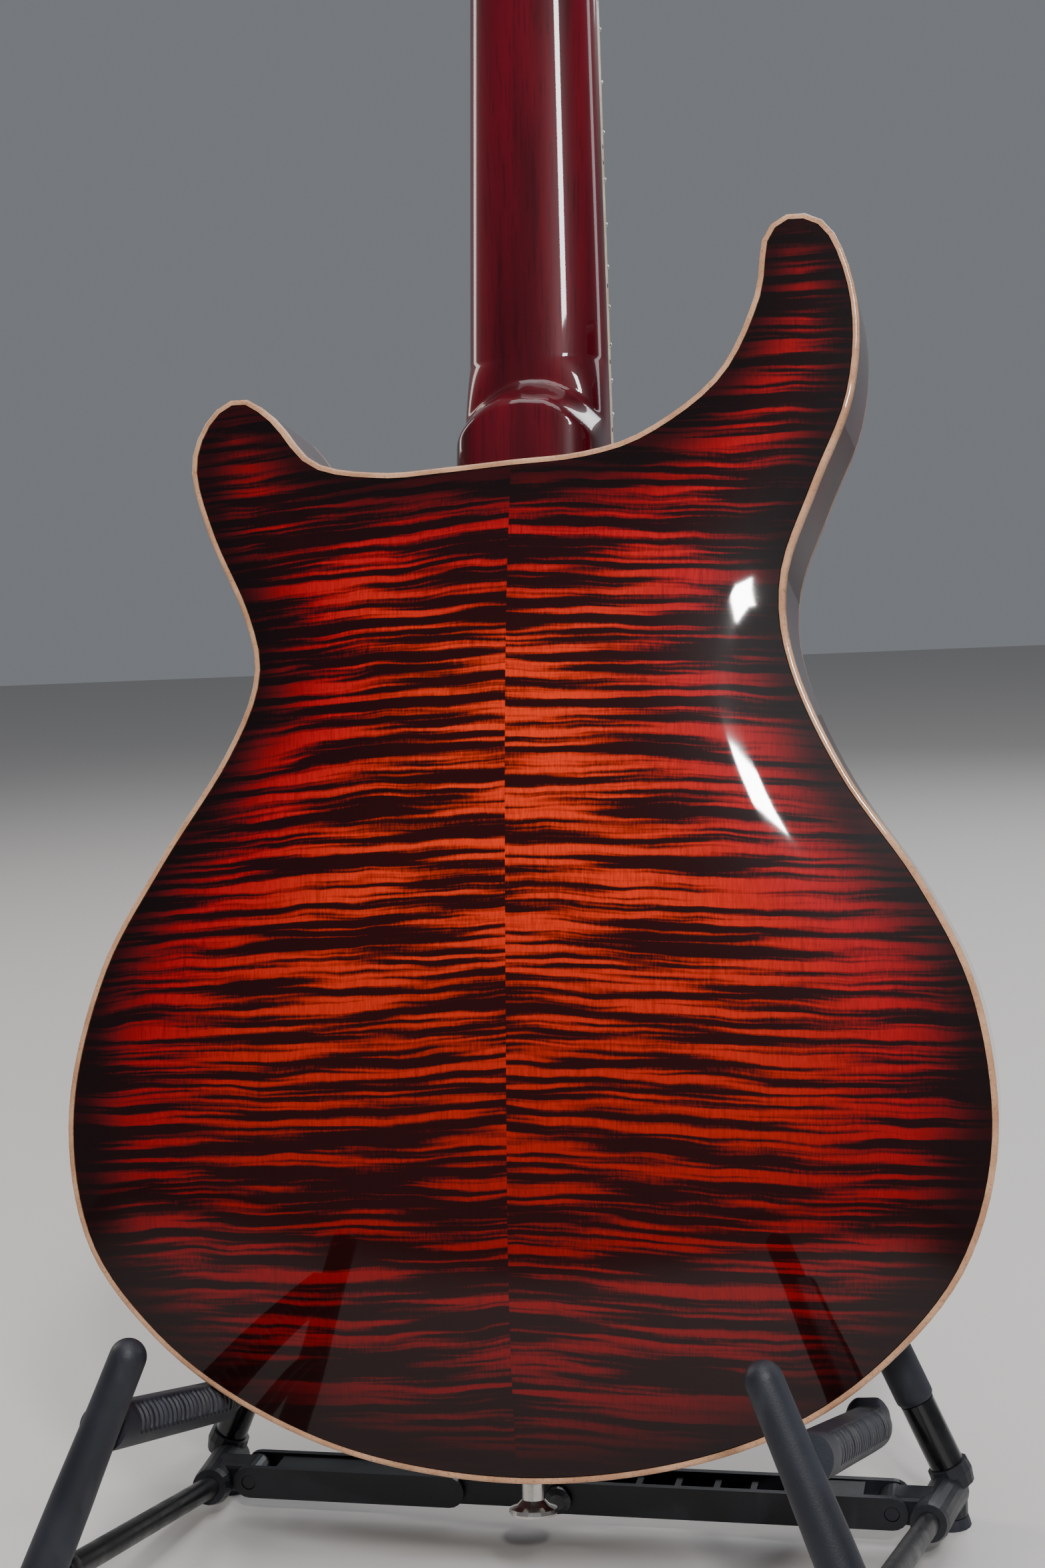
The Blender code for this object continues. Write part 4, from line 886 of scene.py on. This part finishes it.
def make_strings():
    """Strings from the bridge over the nut to their posts, with the turns on each post."""
    rows = list(TUNER_ROWS) + list(TUNER_ROWS[::-1])
    for k, radius in enumerate(STRING_RADII):
        across = 0.5 - k / 5
        nut = TO_GUITAR @ Vector((across * STRING_SPREAD_NUT, -0.1 - GAP - radius, -2.6))
        bridge = Vector((across * STRING_SPREAD_BRIDGE, 0, BRIDGE_Z - 7))
        bridge.y = (TO_GUITAR @ Vector((0, -ACTION_BRIDGE, SCALE_LENGTH))).y
        side_way = 1 if k < 3 else -1
        post = Vector((side_way * TUNER_X, HEAD_FACE - 6.5, -rows[k]))
        reach = POST_RADIUS + radius
        start = TO_GUITAR @ (TILT @ (post + Vector((side_way * -reach, 0, 1.5))))
        path = [bridge, bridge.lerp(nut, 0.5), nut, nut.lerp(start, 0.04), start]
        straight = sweep(path, radius, 12)
        turns = []
        steps = POST_TURNS * TURN_STEPS
        for step in range(steps):
            turn = side_way * (math.pi + math.tau * step / TURN_STEPS)
            spot = post + Vector((reach * math.cos(turn), 2.4 * radius * step / TURN_STEPS - 1.2,
                                  reach * math.sin(turn) + 1.5 * (1 - step / (steps - 1))))
            turns.append(TO_GUITAR @ (TILT @ spot))
        wrapped = sweep(turns, radius, 8)
        paint = "wound_wire" if k < 3 else "plain_wire"
        piece(f"string_{k + 1}_wire", joined([straight, wrapped]), paint, [f"string_{k + 1}"],
              GUITAR, 60)


def make_top_hardware():
    """Pickup covers with their poles, ring screws, bridge with its saddles and studs, controls."""
    for name, z in (("neck", NECK_PICKUP_Z), ("bridge", BRIDGE_PICKUP_Z)):
        dress(f"pickup_{name}", "nickel", 0.6, 3)
        dress(f"pickup_ring_{name}", "ring_plastic", 0.5)
        face = guitar_face(f"pickup_{name}")
        poles = []
        way = 1 if name == "neck" else -1
        for k in range(6):
            x = (0.5 - k / 5) * (STRING_SPREAD_BRIDGE - 2)
            poles.append(moved(screw(2.4, 0.9), shift(x, face, z + way * 9.5) @ BACK_UP))
        piece(f"pickup_poles_{name}", joined(poles), "nickel")
        face = guitar_face(f"pickup_ring_{name}")
        spots = [(sx * 41, z + sz * 18) for sx in (1, -1) for sz in (1, -1)] + [(40.5, z), (-40.5, z)]
        heads = [moved(screw(1.9, 1.0), shift(x, face - 0.1, sz) @ BACK_UP) for x, sz in spots]
        piece(f"pickup_ring_screws_{name}", joined(heads), "nickel")
    low, high = guitar_box("bridge")
    deck, crown = low.y, high.y
    rise = deck + (crown - deck) * 0.56
    path = [Vector((x, rise - 1.4 * (x / 46) ** 2, BRIDGE_Z)) for x in np.linspace(-44, 44, 23)]
    bar = sweep(path, 6.3, 24, squash=0.82, power=2.6, domed=True)
    saddles = []
    for k in range(6):
        x = (0.5 - k / 5) * STRING_SPREAD_BRIDGE
        step = (0, 1.1, 2.2, 0.4, 1.5, 2.6)[k]
        block = rounded_rect((x, BRIDGE_Z + step - 1.5), (6.6, 5.4), 1.2, 3)
        saddles.append(skin([at_depth(inset(block, 0.8), crown - 0.1), at_depth(block, crown - 1.0),
                             at_depth(block, crown - 5)]))
    studs = []
    for x in (-41.0, 41.0):
        stud = [(0, deck - 1), (7.0, deck - 1), (7.0, deck + 1.0), (4.0, deck + 1.6), (4.0, crown - 2.0),
                (6.0, crown - 1.6), (6.0, crown), (5.2, crown + 0.5), (2.0, crown + 0.6),
                (1.8, crown - 0.8), (0, crown - 0.8)]
        studs.append(moved(lathe(stud, 30), shift(x, 0, BRIDGE_Z)))
    piece("bridge_casting", joined([bar] + saddles + studs), "nickel", ["bridge"], GUITAR, 40)
    for name in ("volume", "tone"):
        dress(f"pot_{name}", "steel")
        base = guitar_box(f"knob_{name}")[0].y
        wide, tall = KNOB_RADIUS, KNOB_HEIGHT
        shape = [(0, 11), (3.3, 11), (3.3, 1.2), (5.4, 1.2), (5.4, 0.3), (wide - 0.5, 0.3),
                 (wide - 0.1, 0.7), (wide, 1.4), (wide, 4.6), (wide - 0.5, 5.6), (wide - 1.6, 6.6),
                 (wide - 1.9, 8), (wide - 2.2, tall - 1.4), (wide - 2.6, tall - 0.5), (wide - 3.6, tall),
                 (0, tall)]
        shape = [(r, h - 0.3) for r, h in shape]
        turned = lathe(shape, 60)
        x, z = KNOBS[name]
        ridged = []
        for vx, vy, vz in turned[0]:
            far = math.hypot(vx, vz)
            turn = math.atan2(vz, vx)
            ridge = KNOB_RIDGE_DEPTH * math.cos(KNOB_RIDGES * turn)
            grip = ridge if 7.0 < vy < tall - 1.2 and far > 8 else 0.0
            grow = 1 + grip / max(far, 1)
            ridged.append((vx * grow, vy, vz * grow))
        piece(f"knob_{name}_cap", (ridged, turned[1]), "amber", [f"knob_{name}"],
              GUITAR @ Matrix.Translation(Vector((x, base, z)) * SCALE), 30, body=f"knob_{name}")
    dress("switch_body", "nickel", 0.3)
    dress("switch_lever", "amber", 0.25)


def guitar_box(node):
    """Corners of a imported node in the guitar's own frame, in mm."""
    back = GUITAR.inverted()
    points = np.array([back @ v.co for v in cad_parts[node].data.vertices]) / SCALE
    return Vector(points.min(0)), Vector(points.max(0))


def guitar_face(node):
    return guitar_box(node)[1].y


def make_edge_hardware(outline):
    """Strap button with its felt, and the jack with its nut and screws."""
    dress("strap_button_base", "nickel", 0.3)
    low, high = guitar_box("strap_button_base")
    middle = (low + high) / 2
    washer = lathe([(0, 0.1), (8.6, 0.1), (8.9, 0.7), (8.6, 1.3), (0, 1.3)], 36, "Z")
    turned = shift(middle.x, middle.y, high.z) @ OVER
    piece("strap_button_felt", moved(washer, turned), "felt")
    head = moved(screw(3.2, 1.2), shift(middle.x, middle.y, low.z + 0.35) @ OVER)
    piece("strap_button_screw", head, "nickel")
    dress("jack_plate", "nickel", 0.3)
    low, high = guitar_box("jack_plate")
    middle = (low + high) / 2
    i = min(range(len(outline)), key=lambda k: math.dist(outline[k], (middle.x, middle.z)))
    along = outline[(i + 1) % len(outline)] - outline[i - 1]
    out = Vector((along[1], 0, -along[0])).normalized()
    deep = Vector((0, 1, 0))
    turned = Matrix((deep, out.cross(deep), out)).transposed().to_4x4()
    place = Matrix.Translation(middle + out * 0.45) @ turned
    nut = turned_ring([(4.7, 0), (7.0, 0), (7.0, 1.2), (6.4, 1.6), (4.7, 1.6)], 6, True)
    socket = turned_ring([(3.3, 0.4), (4.6, 0.4), (4.6, 1.9), (4.2, 2.2), (3.3, 2.2)], 30, True)
    parts = [moved(nut, place), moved(socket, place)]
    for a in (-JACK_SCREW, JACK_SCREW):
        for b in (-JACK_SCREW, JACK_SCREW):
            parts.append(moved(screw(1.8, 0.9), place @ shift(a, b, 0.35)))
    piece("jack_nut_and_screws", joined(parts), "nickel")


def side_solid(solid, way):
    """A side frame's solid placed in the world, mirrored for the left."""
    return [(SHIFT[0] + way * x, SHIFT[1] + y, z) for x, y, z in solid[0]], solid[1]


def dome(centre, ring, reach, turns):
    """Rings that close a tube's last ring over its centre."""
    rings = []
    for rad in map(math.radians, turns):
        rings.append([centre + (p - centre) * math.cos(rad) + reach * math.sin(rad) for p in ring])
    return rings


def ribbed_arm(path, radius):
    """Seat arm with a flat top and ribs across both flanks."""
    spots, frames = ring_frames(path)
    run = np.concatenate([[0], np.cumsum([(b - a).length for a, b in zip(spots, spots[1:])])])
    last_rib = run[-1] - SEAT_RIBS_UNTIL
    rings = []
    for spot, axes, s in zip(spots, frames, run):
        wave = 0.5 - 0.5 * math.cos(math.tau * s / SEAT_RIB_PITCH)
        groove = max(0.0, min(1.0, (wave - 0.35) / 0.3)) if SEAT_RIBS_FROM < s < last_rib else 0.0
        ring = []
        for i in range(ARM_SIDES):
            turn = math.tau * i / ARM_SIDES
            out = axes[1] * math.cos(turn) + axes[2] * math.sin(turn)
            rise = out.z
            flank = max(0.0, min(1.0, (0.80 - rise) / 0.12)) * max(0.0, min(1.0, (rise + 0.35) / 0.25))
            reach = radius - SEAT_RIB_DEPTH * groove * flank
            reach = min(reach, SEAT_FLAT * radius / max(rise, 0.01)) if rise > 0.5 else reach
            ring.append(spot + out * reach)
        rings.append(ring)
    return skin(rings + dome(spots[-1], rings[-1], frames[-1][0] * radius * 0.8, (20, 40, 58, 74, 85)))


def make_side_frame(side, way):
    """Sleeved leg, ribbed seat arm, rear tube with its sleeve, stay rod and feet."""
    def add(node, kind, solid, paint, smooth_deg, nodes=None):
        node = f"{node}_{side}"
        piece(f"{node}_{kind}", side_solid(solid, way), paint, [node] if nodes is None else nodes, WORLD,
              smooth_deg, body=f"stand_{side}")

    tip, toe = Vector(TIP), Vector(TOE)
    down = (toe - tip).normalized()
    ankle = toe - down * FOOT_HEIGHT
    stops = [ankle.lerp(tip, t) for t in (0, 0.02, 0.35, 0.62, 0.8, 0.9, 1)]
    radii = [LEG_RADIUS - 0.5, LEG_RADIUS, LEG_RADIUS, LEG_RADIUS - 0.5, TIP_RADIUS + 0.3, TIP_RADIUS + 0.1,
             TIP_RADIUS]
    leg = fine_tube(stops, radii, 40)
    add("front_leg", "sleeve", leg, "rubber", 60)
    dress(f"front_foot_{side}", "rubber", 0.8)

    origin, along = (Vector(p) for p in SEAT_LINE)
    start = nearest_on_line(origin, along.normalized(), tip, down) + along * (LEG_RADIUS + 0.2)
    knots = [start, start.lerp(origin + along * 90, 0.5)]
    knots += [origin + along * y + Vector((x, 0, z)) for y, x, z in SEAT_END]
    path = spline([tuple(p) for p in knots], 300)
    add("seat_arm", "ribbed", ribbed_arm(path, SEAT_RADIUS), "rubber", 28)

    base, bend, top = Vector(TUBE_BASE), Vector(TUBE_BEND), Vector(TUBE_TOP)
    split = base.lerp(bend, SLEEVE_FROM)
    tube = sweep([base, base.lerp(split, 0.5), split], REAR_LEG_RADIUS + TUBE_SWELL, 36)
    add("rear_leg", "tube", tube, "gloss_tube", 50)
    way_up = (bend - base).normalized()
    cuff = split + way_up * GAP
    path = [cuff, cuff + way_up * 1.5, cuff + way_up * 3.0, split.lerp(bend, 0.7), bend.lerp(top, 0.12),
            bend.lerp(top, 0.55), top]
    sleeve = fine_tube(path, [SLEEVE_RADIUS - 0.9, SLEEVE_RADIUS - 0.1] + [SLEEVE_RADIUS] * 5, 40)
    add("backrest", "sleeve", sleeve, "rubber", 60)

    rod_start, rod_end = (Vector(p) for p in ROD)
    rod_way = (rod_end - rod_start).normalized()
    rod_start = nearest_on_line(rod_start, rod_way, tip, down) + rod_way * (LEG_RADIUS + 0.4)
    rod = sweep([rod_start, rod_start + rod_way * 20, rod_start.lerp(rod_end, 0.5), rod_end], ROD_RADIUS, 32)
    collar = sweep([rod_start, rod_start + rod_way, rod_start + rod_way * 7, rod_start + rod_way * 8],
                   [5.0, 5.7, 5.7, 5.0], 32)
    add("stay_rod", "tube", rod, "rod_black", 50)
    add("stay_rod", "collar", collar, "satin", 40, ())
    dress(f"corner_block_{side}", "satin", 0.7, 3)
    dress(f"rear_foot_{side}", "rubber", 0.6)


def fine_tube(path, radii, sides):
    """Round tube with a full dome on its far end."""
    verts = sweep(path, radii, sides)[0]
    spots, frames = ring_frames(path)
    rings = [verts[k * sides:(k + 1) * sides] for k in range(len(path))]
    last = [Vector(p) for p in rings[-1]]
    return skin(rings + dome(spots[-1], last, frames[-1][0] * radii[-1], (12, 24, 36, 48, 60, 70, 79, 86)))


def make_cross_arms():
    """Moulded arms and the bolt of the knee."""
    dress("cross_arm_left", "satin", 0.45)
    dress("cross_arm_right", "satin", 0.45)
    dress("knee_bolt", "steel", 0.4)


def camera_at(place, azimuth, pitch, roll, lens):
    """Camera looking along a compass direction, tilted down and rolled."""
    a, p, r = math.radians(azimuth), math.radians(pitch), math.radians(roll)
    ahead = Vector((-math.sin(a) * math.cos(p), math.cos(a) * math.cos(p), -math.sin(p)))
    right = Vector((math.cos(a), math.sin(a), 0))
    up = right.cross(ahead)
    right2 = right * math.cos(r) + up * math.sin(r)
    up2 = up * math.cos(r) - right * math.sin(r)
    data = bpy.data.cameras.new("camera")
    thing = added("camera", data)
    turned = Matrix((right2, up2, -ahead)).transposed().to_4x4()
    thing.matrix_world = Matrix.Translation(place) @ turned
    data.sensor_fit = "VERTICAL"
    data.sensor_height = SENSOR
    data.lens = lens
    bpy.context.scene.camera = thing


def area(name, place, aim, size, power, colour):
    """Soft rectangular light pointed at a spot."""
    data = bpy.data.lights.new(name, "AREA")
    data.shape = "RECTANGLE"
    data.size, data.size_y = size
    data.energy = power
    data.color = colour
    thing = added(name, data)
    thing.location = place
    thing.rotation_mode = "QUATERNION"
    thing.rotation_quaternion = (Vector(aim) - Vector(place)).to_track_quat("-Z", "Y")


def make_stage():
    """Pale floor, soft lights and an even world."""
    mesh = bpy.data.meshes.new("floor")
    corners = [(x * FLOOR_REACH, y * FLOOR_REACH, 0) for x, y in ((-1, -1), (1, -1), (1, 1), (-1, 1))]
    mesh.from_pydata(corners, [], [(0, 1, 2, 3)])
    floor = added("floor", mesh)
    made = bpy.data.materials.new("floor_pale")
    made.use_nodes = True
    shader = made.node_tree.nodes["Principled BSDF"]
    shader.inputs["Base Color"].default_value = FLOOR_COLOUR
    shader.inputs["Roughness"].default_value = 0.6
    mesh.materials.append(made)
    world = bpy.data.worlds.new("studio")
    world.use_nodes = True
    sky = world.node_tree.nodes["Background"].inputs
    sky["Color"].default_value = SKY_COLOUR
    sky["Strength"].default_value = SKY_STRENGTH
    bpy.context.scene.world = world
    for name, setting in LIGHTS.items():
        area(name, *setting)


body_outline = make_plates()
make_neck(body_outline)
make_fretboard()
make_tuners()
make_strings()
make_top_hardware()
make_edge_hardware(body_outline)
for stand_side, stand_way in (("right", 1), ("left", -1)):
    make_side_frame(stand_side, stand_way)
make_cross_arms()
make_stage()
camera_at(Vector(CAMERA_AT) * SCALE, CAMERA_AZIMUTH, CAMERA_PITCH, CAMERA_ROLL, CAMERA_LENS)
